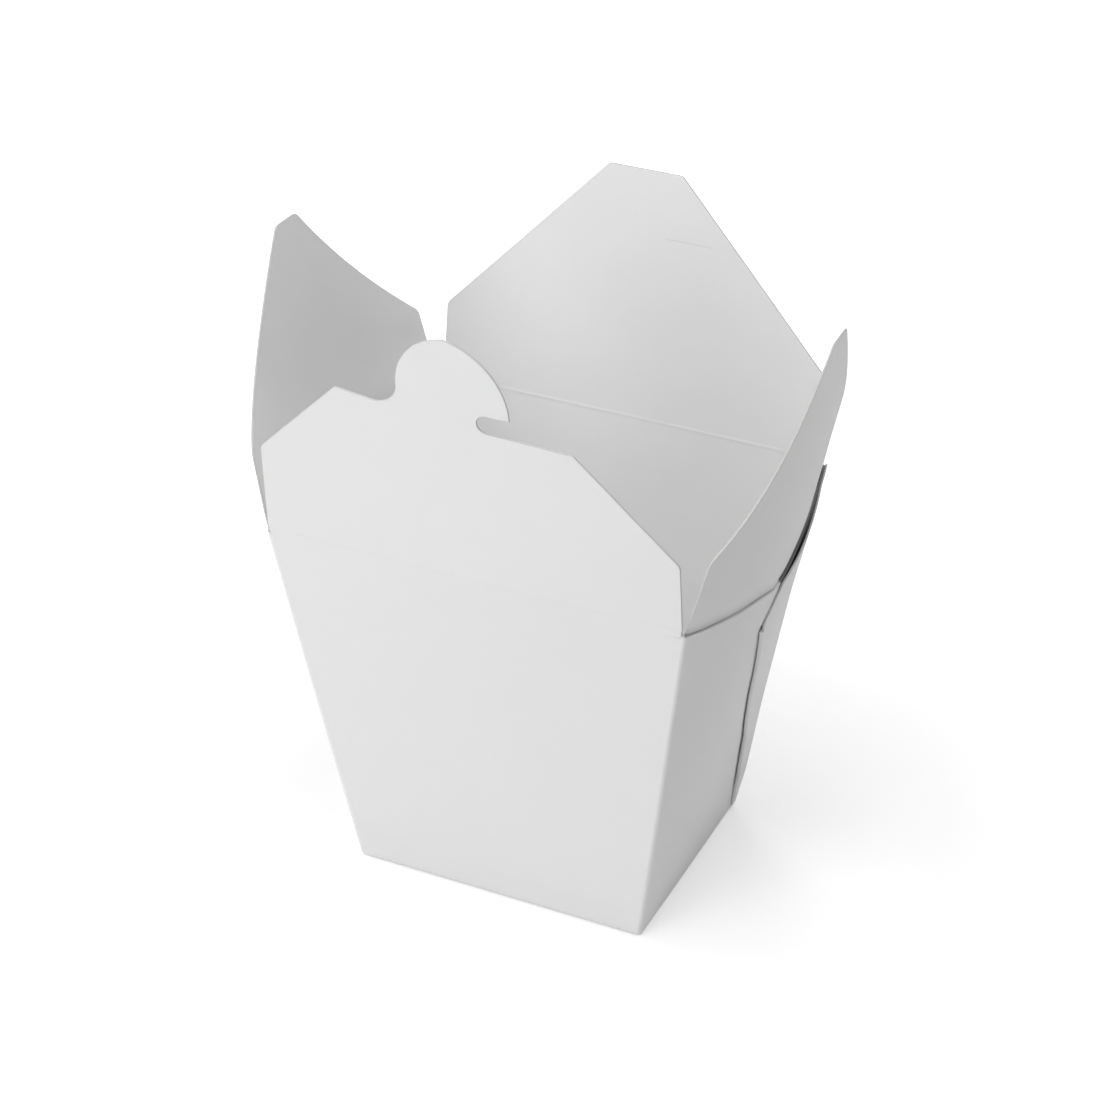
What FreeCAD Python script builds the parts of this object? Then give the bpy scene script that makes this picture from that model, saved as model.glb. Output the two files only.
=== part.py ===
import FreeCAD, Part
import math
import os

from FreeCAD import Placement, Rotation, Vector

# An open food pail folded from one sheet of coated board. The frame stands at
# the middle of the bottom, with +Z up, the front wall at -Y and the side walls
# at -X and +X. Sizes are in millimetres, angles in degrees.

# The board, its folds and the step that a scored crease presses into it
BOARD = 0.45
FOLD_RADIUS = 0.8
CORNER_RADIUS = 0.95
SCORE_STEP = 0.2

# The tapered box, measured outside
BOTTOM_WIDTH = 70.0
BOTTOM_DEPTH = 55.0
CREASE_WIDTH = 96.0
CREASE_DEPTH = 79.0
CREASE_HEIGHT = 90.0

# The side walls bow outward and their creases are arcs
SIDE_BOW = 8.5
SIDE_BOW_FORWARD = 6.0
SIDE_SAG = 2.5

# The side flaps go on upward from the arcs
SIDE_FLAP_HEIGHT = 52.3
SIDE_FLAP_LEAN = 11.3
SIDE_FLAP_TOP_BOW = 4.8
SIDE_FLAP_CORNER_GAP = 0.7
SIDE_SHOULDER_INSET = 2.0
SIDE_SHOULDER_HEIGHT = 16.3
SIDE_TIP_WIDTH = 7.9
SIDE_EDGE_HOLLOW = 1.1
SIDE_SHOULDER_RADIUS = 3.0
SIDE_TIP_RADIUS = 1.5

# The folded webs that join the back wall to the side walls
WEB_LAYERS = 2
WEB_FOOT = 1.5
WEB_TIP_DROP = 13.8
WEB_TOP_GAP = 0.8
WEB_TOP_REACH = 3.5

# The front flap with its hook tab
FRONT_EDGE_INSET = 0.5
FRONT_SHOULDER_LEFT = 22.3
FRONT_SHOULDER_RIGHT = 17.2
FRONT_SHOULDER_RADIUS = 2.5
FRONT_CORNER_LEFT = (-27.0, 42.1)
FRONT_CORNER_RIGHT = (25.5, 38.5)
FRONT_CORNER_RADIUS = 1.0
TAB_LEFT = -12.8
TAB_HEIGHT = 59.3
TAB_MIDDLE = -1.5
TAB_NECK_RADIUS = 5.3
HOOK_TIP = 12.0
HOOK_SLOT_RADIUS = 2.1
HOOK_SLOT_DEPTH = 7.3
HOOK_BULGE = 3.9
TAB_BULGE = 3.2
LEFT_EDGE_DROP = 1.1
RIGHT_EDGE_RISE = 0.5
LEFT_SHOULDER_INSET = 0.9

# The back flap with its lock slit
BACK_EDGE_INSET = 1.2
BACK_SHOULDER_HEIGHT = 17.9
BACK_SHOULDER_RADIUS = 2.5
BACK_TOP_HEIGHT = 58.0
BACK_TOP_WIDTH = 17.4
BACK_SHIFT = 0.9
BACK_TOP_SHIFT = 0.5
BACK_TOP_RADIUS = 1.5
SLIT_HEIGHT = 43.1
SLIT_START = 6.3
SLIT_LENGTH = 11.4
SLIT_WIDTH = 0.3

# The clearances of the two hinged flaps
CREASE_GAP = 0.3
BASE_CHAMFER = 0.4
BASE_CHAMFER_HEIGHT = 2.0

# Sizes that follow from the ones above
FACE_LEAN = math.degrees(math.atan2((CREASE_DEPTH - BOTTOM_DEPTH) / 2, CREASE_HEIGHT))
SIDE_LEAN = math.degrees(math.atan2((CREASE_WIDTH - BOTTOM_WIDTH) / 2, CREASE_HEIGHT))
WEB_THICKNESS = WEB_LAYERS * BOARD
FAR = 3 * CREASE_WIDTH


def tangent(degrees):
    return math.tan(math.radians(degrees))


def cosine(degrees):
    return math.cos(math.radians(degrees))


def curve(poles):
    """An edge along the Bezier curve with these poles."""
    bezier = Part.BezierCurve()
    bezier.setPoles(poles)
    return bezier.toShape()


def solid_of(faces):
    """A closed solid sewn from its faces."""
    shell = Part.makeShell(faces)
    shell.sewShape()
    solid = Part.makeSolid(shell)
    if solid.Volume < 0:
        shell.reverse()
        solid = Part.makeSolid(shell)
    return solid


def closed_face(points):
    return Part.Face(Part.makePolygon(points + points[:1]))


def cut_along_x(outline):
    """A prism along X, through the whole pail, over an outline in the YZ plane."""
    face = Part.Face(outline)
    face.translate(Vector(-FAR / 2, 0, 0))
    return face.extrude(Vector(FAR, 0, 0))


# The walls

def side_bow_at_top():
    """Bow of a side wall carried up to the level of the crease ends."""
    lowest = 1 - SIDE_SAG / CREASE_HEIGHT
    flap_foot = CREASE_WIDTH / 2 - SIDE_SAG * tangent(SIDE_FLAP_LEAN)
    flap_foot += SIDE_BOW - (SIDE_FLAP_TOP_BOW - SIDE_BOW) * SIDE_SAG / SIDE_FLAP_HEIGHT
    return (flap_foot - BOTTOM_WIDTH / 2) / lowest - (CREASE_WIDTH - BOTTOM_WIDTH) / 2


def section(half_width, half_depth, bow, level):
    """A level outline of the pail: straight front and back, bowed sides."""
    forward = 2 * SIDE_BOW_FORWARD * half_depth / (CREASE_DEPTH / 2)
    front = [Vector(side * half_width, -half_depth, level) for side in (-1, 1)]
    back = [Vector(side * half_width, half_depth, level) for side in (-1, 1)]
    middle = [Vector(side * (half_width + 2 * bow), -forward, level) for side in (-1, 1)]
    edges = [
        Part.makeLine(front[0], front[1]),
        curve([front[1], middle[1], back[1]]),
        Part.makeLine(back[1], back[0]),
        curve([back[0], middle[0], front[0]]),
    ]
    return Part.Wire(edges)


def pail_section(level, side_offset, face_offset):
    """The pail's outline at a level, grown by the offsets."""
    share = level / CREASE_HEIGHT
    half_width = (BOTTOM_WIDTH + (CREASE_WIDTH - BOTTOM_WIDTH) * share) / 2
    half_depth = (BOTTOM_DEPTH + (CREASE_DEPTH - BOTTOM_DEPTH) * share) / 2
    half_width += side_offset / cosine(SIDE_LEAN)
    half_depth += face_offset / cosine(FACE_LEAN)
    return section(half_width, half_depth, side_bow_at_top() * share, level)


def pail_block(side_offset=0.0, face_offset=0.0, floor=0.0, top=CREASE_HEIGHT):
    """The tapered solid inside the walls' outer faces, grown by the offsets."""
    low = pail_section(floor, side_offset, face_offset)
    high = pail_section(top, side_offset, face_offset)
    return Part.makeLoft([low, high], True, True)


def is_corner_fold(edge):
    """True on the four standing corner edges."""
    ends = [vertex.Point for vertex in edge.Vertexes]
    return len(ends) == 2 and abs(ends[0].z - ends[1].z) > CREASE_HEIGHT / 2


def is_bottom_fold(edge):
    return all(vertex.Point.z < BOARD for vertex in edge.Vertexes)


def with_round_corners(block):
    """The block with its four standing corner folds rounded."""
    return block.makeFillet(CORNER_RADIUS, [e for e in block.Edges if is_corner_fold(e)])


def with_round_bottom(block):
    """The block with the folds around its bottom rounded."""
    return block.makeFillet(FOLD_RADIUS, [e for e in block.Edges if is_bottom_fold(e)])


def crease_arc():
    """The arc crease of a side wall seen along X."""
    ends = [Vector(0, side * CREASE_DEPTH / 2, CREASE_HEIGHT) for side in (-1, 1)]
    lowest = Vector(0, -2 * SIDE_BOW_FORWARD, CREASE_HEIGHT - 2 * SIDE_SAG)
    return curve([ends[0], lowest, ends[1]])


def above_crease():
    """Everything over the side walls' arc creases, as a cutter."""
    half_depth = CREASE_DEPTH / 2
    corners = [
        Vector(0, half_depth, CREASE_HEIGHT),
        Vector(0, half_depth, 2 * CREASE_HEIGHT),
        Vector(0, -half_depth, 2 * CREASE_HEIGHT),
        Vector(0, -half_depth, CREASE_HEIGHT),
    ]
    sides = [Part.makeLine(a, b) for a, b in zip(corners, corners[1:])]
    return cut_along_x(Part.Wire([crease_arc()] + sides))


def make_walls():
    """The bottom and the four walls, hollow and open at the top."""
    outside = with_round_bottom(with_round_corners(pail_block()))
    inside = pail_block(-BOARD, -BOARD, BOARD, CREASE_HEIGHT + FOLD_RADIUS)
    return outside.cut(inside).cut(above_crease())


# The side flaps

def side_flap_poles(side, height, inward):
    """Poles of a side flap's surface at a height above the crease ends."""
    lean = height * tangent(SIDE_FLAP_LEAN)
    bow = SIDE_BOW + (SIDE_FLAP_TOP_BOW - SIDE_BOW) * height / SIDE_FLAP_HEIGHT
    foot = CREASE_WIDTH / 2 + lean - inward
    half_depth = CREASE_DEPTH / 2
    level = CREASE_HEIGHT + height
    return [
        Vector(side * foot, -half_depth, level),
        Vector(side * (foot + 2 * bow), -2 * SIDE_BOW_FORWARD, level),
        Vector(side * foot, half_depth, level),
    ]


def side_flap_slab(side):
    """Bowed board that the side flap's outline is cut from."""
    heights = (-2 * SIDE_SAG, SIDE_FLAP_HEIGHT + SIDE_SAG)
    outer = [side_flap_poles(side, height, SCORE_STEP) for height in heights]
    inner = [side_flap_poles(side, height, SCORE_STEP + BOARD) for height in heights]
    faces = [
        Part.makeRuledSurface(curve(outer[0]), curve(outer[1])),
        Part.makeRuledSurface(curve(inner[0]), curve(inner[1])),
    ]
    for end in (0, 1):
        faces.append(Part.makeRuledSurface(curve(outer[end]), curve(inner[end])))
    for end in (0, 2):
        faces.append(closed_face([outer[0][end], inner[0][end], inner[1][end], outer[1][end]]))
    return solid_of(faces)


def side_flap_edge(side):
    """One slanting edge of a side flap, from its shoulder to its tip, a little hollow."""
    shoulder = CREASE_DEPTH / 2 - SIDE_SHOULDER_INSET
    foot = Vector(0, side * shoulder, CREASE_HEIGHT + SIDE_SHOULDER_HEIGHT)
    tip = Vector(0, side * SIDE_TIP_WIDTH / 2, CREASE_HEIGHT + SIDE_FLAP_HEIGHT)
    along = (tip - foot).normalize()
    inward = Vector(0, -side * along.z, side * along.y)
    middle = (foot + tip) / 2 + inward * SIDE_EDGE_HOLLOW
    return Part.Arc(foot, middle, tip).toShape(), foot, tip


def side_flap_outline():
    """The outline of a side flap seen along X, from the arc crease to the tip."""
    base = CREASE_DEPTH / 2 - SIDE_FLAP_CORNER_GAP
    overlap = BOARD
    share = 1 - (base / (CREASE_DEPTH / 2)) ** 2
    foot_level = CREASE_HEIGHT - SIDE_SAG * share - overlap
    front_edge, front_shoulder, front_tip = side_flap_edge(-1)
    back_edge, back_shoulder, back_tip = side_flap_edge(1)
    front_foot = Vector(0, -base, foot_level)
    back_foot = Vector(0, base, foot_level)
    sagged = foot_level - 2 * SIDE_SAG * (1 - share)
    crease = curve([front_foot, Vector(0, -2 * SIDE_BOW_FORWARD, sagged), back_foot])
    edges = [
        crease,
        Part.makeLine(back_foot, back_shoulder),
        back_edge,
        Part.makeLine(back_tip, front_tip),
        front_edge,
        Part.makeLine(front_shoulder, front_foot),
    ]
    return Part.Wire(Part.__sortEdges__(edges))


def with_rounded_edges(prism, corners, radius):
    """The prism along X with its edges through these corners rounded."""
    chosen = []
    for edge in prism.Edges:
        ends = [vertex.Point for vertex in edge.Vertexes]
        along_x = len(ends) == 2 and abs(ends[0].x - ends[1].x) > CREASE_WIDTH
        beside = [c for c in corners if math.hypot(ends[0].y - c.y, ends[0].z - c.z) < BOARD]
        if along_x and beside:
            chosen.append(edge)
    return prism.makeFillet(radius, chosen)


def make_side_flap(side):
    """A side flap standing on the arc crease of one side wall."""
    prism = cut_along_x(side_flap_outline())
    _, back_shoulder, back_tip = side_flap_edge(1)
    _, front_shoulder, front_tip = side_flap_edge(-1)
    prism = with_rounded_edges(prism, [front_shoulder, back_shoulder], SIDE_SHOULDER_RADIUS)
    prism = with_rounded_edges(prism, [front_tip, back_tip], SIDE_TIP_RADIUS)
    return side_flap_slab(side).common(prism)


# The webs

def web_fold_angle():
    """Angle of a web's fold from the vertical, halfway across the web's own angle."""
    web_angle = 90 - FACE_LEAN - SIDE_LEAN
    return web_angle / 2 - FACE_LEAN


def web_outline():
    """The outline of a folded web seen along X."""
    corner = Vector(0, BOTTOM_DEPTH / 2, 0)
    fold = Vector(0, -tangent(web_fold_angle()), 1)
    foot = corner + fold * WEB_FOOT
    apex = corner + fold * (CREASE_HEIGHT - WEB_TIP_DROP)
    top_level = CREASE_HEIGHT - WEB_TOP_GAP
    reach = Vector(0, -WEB_TOP_REACH, top_level - SIDE_SAG)
    back_top = Vector(0, CREASE_DEPTH / 2 + WEB_THICKNESS, top_level)
    back_low = Vector(0, back_top.y, foot.z)
    crease = curve([reach, (reach + back_top) / 2 - Vector(0, 0, SIDE_SAG / 2), back_top])
    edges = [
        Part.makeLine(foot, apex),
        Part.makeLine(apex, reach),
        crease,
        Part.makeLine(back_top, back_low),
        Part.makeLine(back_low, foot),
    ]
    return Part.Wire(Part.__sortEdges__(edges))


def make_webs():
    """Both folded webs, laid flat on the outside of the side walls."""
    grown = with_round_corners(pail_block(side_offset=WEB_THICKNESS))
    layer = grown.cut(pail_block(side_offset=-BOARD / 2))
    return layer.common(cut_along_x(web_outline()))


# The flaps of the front and back walls

def flap_frame(front):
    """Placement from a flat flap (x along the crease, y up the flap, z outward) to the pail."""
    mid_board = CREASE_DEPTH / 2 - BOARD / 2 / cosine(FACE_LEAN)
    tilt = Rotation(Vector(1, 0, 0), 90 + FACE_LEAN)
    placement = Placement(Vector(0, -mid_board, CREASE_HEIGHT), tilt)
    if front:
        return placement
    return Placement(Vector(0, 0, 0), Rotation(Vector(0, 0, 1), 180)).multiply(placement)


def flat_point(x, y):
    return Vector(x, y, 0)


def corner_arc(before, corner, after, radius):
    """Start, middle and end of the arc that rounds a corner between two straight runs."""
    back = (before - corner).normalize()
    on = (after - corner).normalize()
    half = back.getAngle(on) / 2
    reach = radius / math.tan(half)
    start = corner + back * reach
    end = corner + on * reach
    centre = corner + (back + on).normalize() * (radius / math.sin(half))
    middle = centre + (corner - centre).normalize() * radius
    return start, middle, end


def chain(points):
    """Edges along points; a point given with a radius is a rounded corner."""
    edges = []
    here = points[0][0]
    for index in range(1, len(points) - 1):
        corner, radius = points[index]
        if radius == 0:
            edges.append(Part.makeLine(here, corner))
            here = corner
            continue
        after = points[index + 1][0]
        start, middle, end = corner_arc(here, corner, after, radius)
        edges.append(Part.makeLine(here, start))
        edges.append(Part.Arc(start, middle, end).toShape())
        here = end
    edges.append(Part.makeLine(here, points[-1][0]))
    return edges


def board_from(edges):
    """A flat piece of board, its middle on the plane z = 0, inside closed edges."""
    face = Part.Face(Part.Wire(Part.__sortEdges__(edges)))
    face.translate(Vector(0, 0, -BOARD / 2))
    return face.extrude(Vector(0, 0, BOARD))


def base_points(left, right):
    """The lower corners of a flap, cut back a little beside the pail's corners."""
    left_foot = flat_point(left + BASE_CHAMFER, 0)
    right_foot = flat_point(right - BASE_CHAMFER, 0)
    left_side = [(flat_point(left, BASE_CHAMFER_HEIGHT), 0), (left_foot, 0)]
    right_side = [(right_foot, 0), (flat_point(right, BASE_CHAMFER_HEIGHT), 0)]
    return left_side + right_side


def bulged_arc(start, end, bulge):
    """An arc that rises by the bulge to the left of the straight way from start to end."""
    along = (end - start).normalize()
    aside = flat_point(-along.y, along.x)
    return Part.Arc(start, (start + end) / 2 + aside * bulge, end).toShape()


def tab_edges(left_root, right_root):
    """The hook tab, from its slot on the right round to the root of its neck on the left."""
    slot_middle = right_root + flat_point(-HOOK_SLOT_RADIUS, HOOK_SLOT_RADIUS)
    slot_top = right_root + flat_point(0, 2 * HOOK_SLOT_RADIUS)
    hook = flat_point(HOOK_TIP, slot_top.y)
    top = flat_point(TAB_MIDDLE, TAB_HEIGHT)
    neck = left_root + flat_point(TAB_NECK_RADIUS, TAB_NECK_RADIUS)
    hollow_reach = TAB_NECK_RADIUS * math.sqrt(0.5)
    hollow = left_root + flat_point(hollow_reach, TAB_NECK_RADIUS - hollow_reach)
    return [
        Part.Arc(right_root, slot_middle, slot_top).toShape(),
        Part.makeLine(slot_top, hook),
        bulged_arc(hook, top, -HOOK_BULGE),
        bulged_arc(top, neck, -TAB_BULGE),
        Part.Arc(neck, hollow, left_root).toShape(),
    ]


def make_front_flap():
    """The front flap with its one-sided hook tab."""
    half_width = CREASE_WIDTH / 2 - FRONT_EDGE_INSET
    left_corner = flat_point(*FRONT_CORNER_LEFT)
    right_corner = flat_point(*FRONT_CORNER_RIGHT)
    left_root = flat_point(TAB_LEFT - TAB_NECK_RADIUS, left_corner.y - LEFT_EDGE_DROP)
    slot_end = HOOK_TIP - HOOK_SLOT_DEPTH + HOOK_SLOT_RADIUS
    right_root = flat_point(slot_end, right_corner.y + RIGHT_EDGE_RISE)
    left_shoulder = flat_point(-half_width + LEFT_SHOULDER_INSET, FRONT_SHOULDER_LEFT)
    right_shoulder = flat_point(half_width, FRONT_SHOULDER_RIGHT)
    left_side = [
        (left_root, 0),
        (left_corner, FRONT_CORNER_RADIUS),
        (left_shoulder, FRONT_SHOULDER_RADIUS),
    ]
    right_side = [
        (right_shoulder, FRONT_SHOULDER_RADIUS),
        (right_corner, FRONT_CORNER_RADIUS),
        (right_root, 0),
    ]
    edges = chain(left_side + base_points(-half_width, half_width) + right_side)
    edges += tab_edges(left_root, right_root)
    flap = board_from(edges)
    flap.Placement = flap_frame(front=True)
    return flap


def make_slit():
    """The cutter for the lock slit."""
    slit = Part.makeBox(SLIT_LENGTH, SLIT_WIDTH, 2 * BOARD)
    slit.translate(Vector(-SLIT_START - SLIT_LENGTH, SLIT_HEIGHT, -BOARD))
    return slit


def make_back_flap():
    """The back flap, with the slit that the hook locks into."""
    half_width = CREASE_WIDTH / 2 - BACK_EDGE_INSET
    left = -half_width - BACK_SHIFT
    right = half_width - BACK_SHIFT
    middle_top = flat_point(-BACK_TOP_SHIFT, BACK_TOP_HEIGHT)
    half_top = flat_point(BACK_TOP_WIDTH / 2, 0)
    points = [(middle_top, 0), (middle_top - half_top, BACK_TOP_RADIUS)]
    points.append((flat_point(left, BACK_SHOULDER_HEIGHT), BACK_SHOULDER_RADIUS))
    points += base_points(left, right)
    points.append((flat_point(right, BACK_SHOULDER_HEIGHT), BACK_SHOULDER_RADIUS))
    points += [(middle_top + half_top, BACK_TOP_RADIUS), (middle_top, 0)]
    flap = board_from(chain(points)).cut(make_slit())
    flap.Placement = flap_frame(front=False)
    return flap


def crease_clearance(front):
    """The strip taken off the top of a wall so that its flap can turn."""
    reach = (BOARD + CREASE_GAP) / 2
    strip = Part.makeBox(FAR, FAR, 2 * reach)
    strip.translate(Vector(-FAR / 2, -CREASE_GAP, -reach))
    strip.Placement = flap_frame(front).multiply(strip.Placement)
    return strip


def make_carton():
    """Bottom, walls, webs and side flaps: the one folded and glued sheet."""
    carton = make_walls().fuse([make_webs(), make_side_flap(-1), make_side_flap(1)])
    for front in (True, False):
        carton = carton.cut(crease_clearance(front))
    return carton.removeSplitter()


def main():
    os.makedirs("parts", exist_ok=True)
    nodes = {
        "folded_carton": make_carton(),
        "front_flap": make_front_flap(),
        "back_flap": make_back_flap(),
    }
    for name, shape in nodes.items():
        print(name, len(shape.Solids), shape.isValid(), round(shape.Volume, 1), shape.BoundBox)
        shape.exportStep("parts/" + name + ".step")


main()
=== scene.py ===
import logging
import math
from dataclasses import dataclass, field
from enum import Enum

import bpy
from mathutils import Matrix, Vector
from mathutils.geometry import delaunay_2d_cdt


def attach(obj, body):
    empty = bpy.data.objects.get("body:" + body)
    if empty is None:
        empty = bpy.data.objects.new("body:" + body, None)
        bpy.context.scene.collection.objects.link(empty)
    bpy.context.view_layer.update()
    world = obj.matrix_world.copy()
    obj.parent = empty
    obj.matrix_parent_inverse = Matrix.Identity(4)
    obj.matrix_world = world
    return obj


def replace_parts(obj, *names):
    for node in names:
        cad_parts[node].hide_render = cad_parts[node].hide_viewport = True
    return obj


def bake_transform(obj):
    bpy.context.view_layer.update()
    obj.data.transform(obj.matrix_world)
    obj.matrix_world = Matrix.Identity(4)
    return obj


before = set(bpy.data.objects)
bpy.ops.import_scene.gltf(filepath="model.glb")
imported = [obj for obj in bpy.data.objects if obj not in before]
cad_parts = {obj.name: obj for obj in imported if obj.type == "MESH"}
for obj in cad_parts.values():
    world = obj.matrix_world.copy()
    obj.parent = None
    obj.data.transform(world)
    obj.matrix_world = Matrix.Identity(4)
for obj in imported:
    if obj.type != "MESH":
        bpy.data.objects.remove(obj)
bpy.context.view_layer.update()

LOG = logging.getLogger("food_pail")
MM = 0.001
# Points within a thousandth of a millimetre are one point.
WELD_GRID = 1000
# The triangulation joins points nearer than this, and fills only the outline's inside.
MEET = 1e-7
FILL_INSIDE = 1
# Triangles lower than this, in millimetres, are dropped.
SLIVER = 0.008
# A ring's points keep these shares of its depth between them and off the edge.
RING_SPACING = 0.6
RING_CLEAR = 0.8
# A colour Mix node has its sockets at these places.
MIX_FACTOR, MIX_A, MIX_B, MIX_RESULT = 0, 6, 7, 2


class Side(Enum):
    """The two bowed sides of the pail, as the sign of X."""

    LEFT = -1
    RIGHT = 1


class Face(Enum):
    """The two flat faces of the pail, as the sign of Y."""

    FRONT = -1
    BACK = 1


class Skin(Enum):
    """The material index of each part of a board's surface."""

    OUTSIDE = 0
    INSIDE = 1
    CUT = 2


# ---------------------------------------------------------------- small helpers


def blend_step(low: float, high: float, value: float) -> float:
    """The height at a value of a smooth step, from 0 at low to 1 at high."""
    share = min(1.0, max(0.0, (value - low) / (high - low)))
    return share * share * (3 - 2 * share)


def hump(distance: float, width: float) -> float:
    """A bell of height 1 at distance 0 that fades over the width."""
    return math.exp(-((distance / width) ** 2))


def spread(low: float, high: float, count: int) -> list[float]:
    """Evenly spaced values from low to high, both included, with count steps between."""
    return [low + (high - low) * step / count for step in range(count + 1)]


def raised(spot: Vector, level: float) -> Vector:
    """A flat point or way, put at a level."""
    return Vector((spot.x, spot.y, level))


def mirrored(point: Vector, side: Side) -> Vector:
    """A point or way of the right side, moved to the side that is asked for."""
    return Vector((side.value * point.x, *point[1:]))


# ---------------------------------------------------------------- the net and the board


@dataclass
class Net:
    """A net of points over a board, in millimetres: outer points, inner points, and their painted
    highlight and painted shade.
    """

    outer: list[Vector] = field(default_factory=list)
    inner: list[Vector] = field(default_factory=list)
    rub: list[float] = field(default_factory=list)
    tuck: list[tuple[float, float]] = field(default_factory=list)
    faces: list[tuple[int, ...]] = field(default_factory=list)
    square_rim: set[int] = field(default_factory=set)

    def add(
        self,
        outer: Vector,
        inner: Vector,
        rub: float = 0.0,
        tuck: tuple[float, float] = (0.0, 0.0),
    ) -> int:
        """Adds a point.

        Args:
            outer: Its place on the outside of the board.
            inner: Its place on the inside.
            rub: How much lighter its coating is painted, for rubbed coating and a painted
                highlight, from 0 to 1.
            tuck: How much painted shade its outside and its inside take, where folds, grooves and
                pockets lie in shade, from 0 to 1.

        Returns:
            The point's index.
        """
        self.outer.append(outer)
        self.inner.append(inner)
        self.rub.append(rub)
        self.tuck.append(tuck)
        return len(self.outer) - 1

    def add_grid(self, rows: list[list[int]], closed: bool = False) -> None:
        """Adds the cells between rows of points.

        Args:
            rows: Rows of point indices, all of one length.
            closed: Whether each row runs round to its own start.
        """
        for low, high in zip(rows, rows[1:]):
            count = len(low)
            for i in range(count if closed else count - 1):
                j = (i + 1) % count
                self.faces.append((low[i], low[j], high[j], high[i]))

    def flip(self) -> None:
        """Turns every cell over."""
        self.faces = [tuple(reversed(face)) for face in self.faces]

    def weld(self) -> None:
        """Joins points that lie in one place and drops the cells that vanish."""
        seen: dict[tuple[int, ...], int] = {}
        target = []
        for index, point in enumerate(self.outer):
            key = tuple(round(c * WELD_GRID) for c in (*point, *self.inner[index]))
            target.append(seen.setdefault(key, index))
        cells = []
        for face in self.faces:
            ring = [target[i] for i in face]
            kept = [p for k, p in enumerate(ring) if p != ring[k - 1]]
            if len(kept) > 2:
                cells.append(tuple(kept))
        self.faces = cells

    def rim_edges(self) -> list[tuple[int, int]]:
        """The directed edges that only one cell uses."""
        used = {edge: True for face in self.faces for edge in zip(face, face[1:] + face[:1])}
        return [(a, b) for a, b in used if (b, a) not in used]


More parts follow.
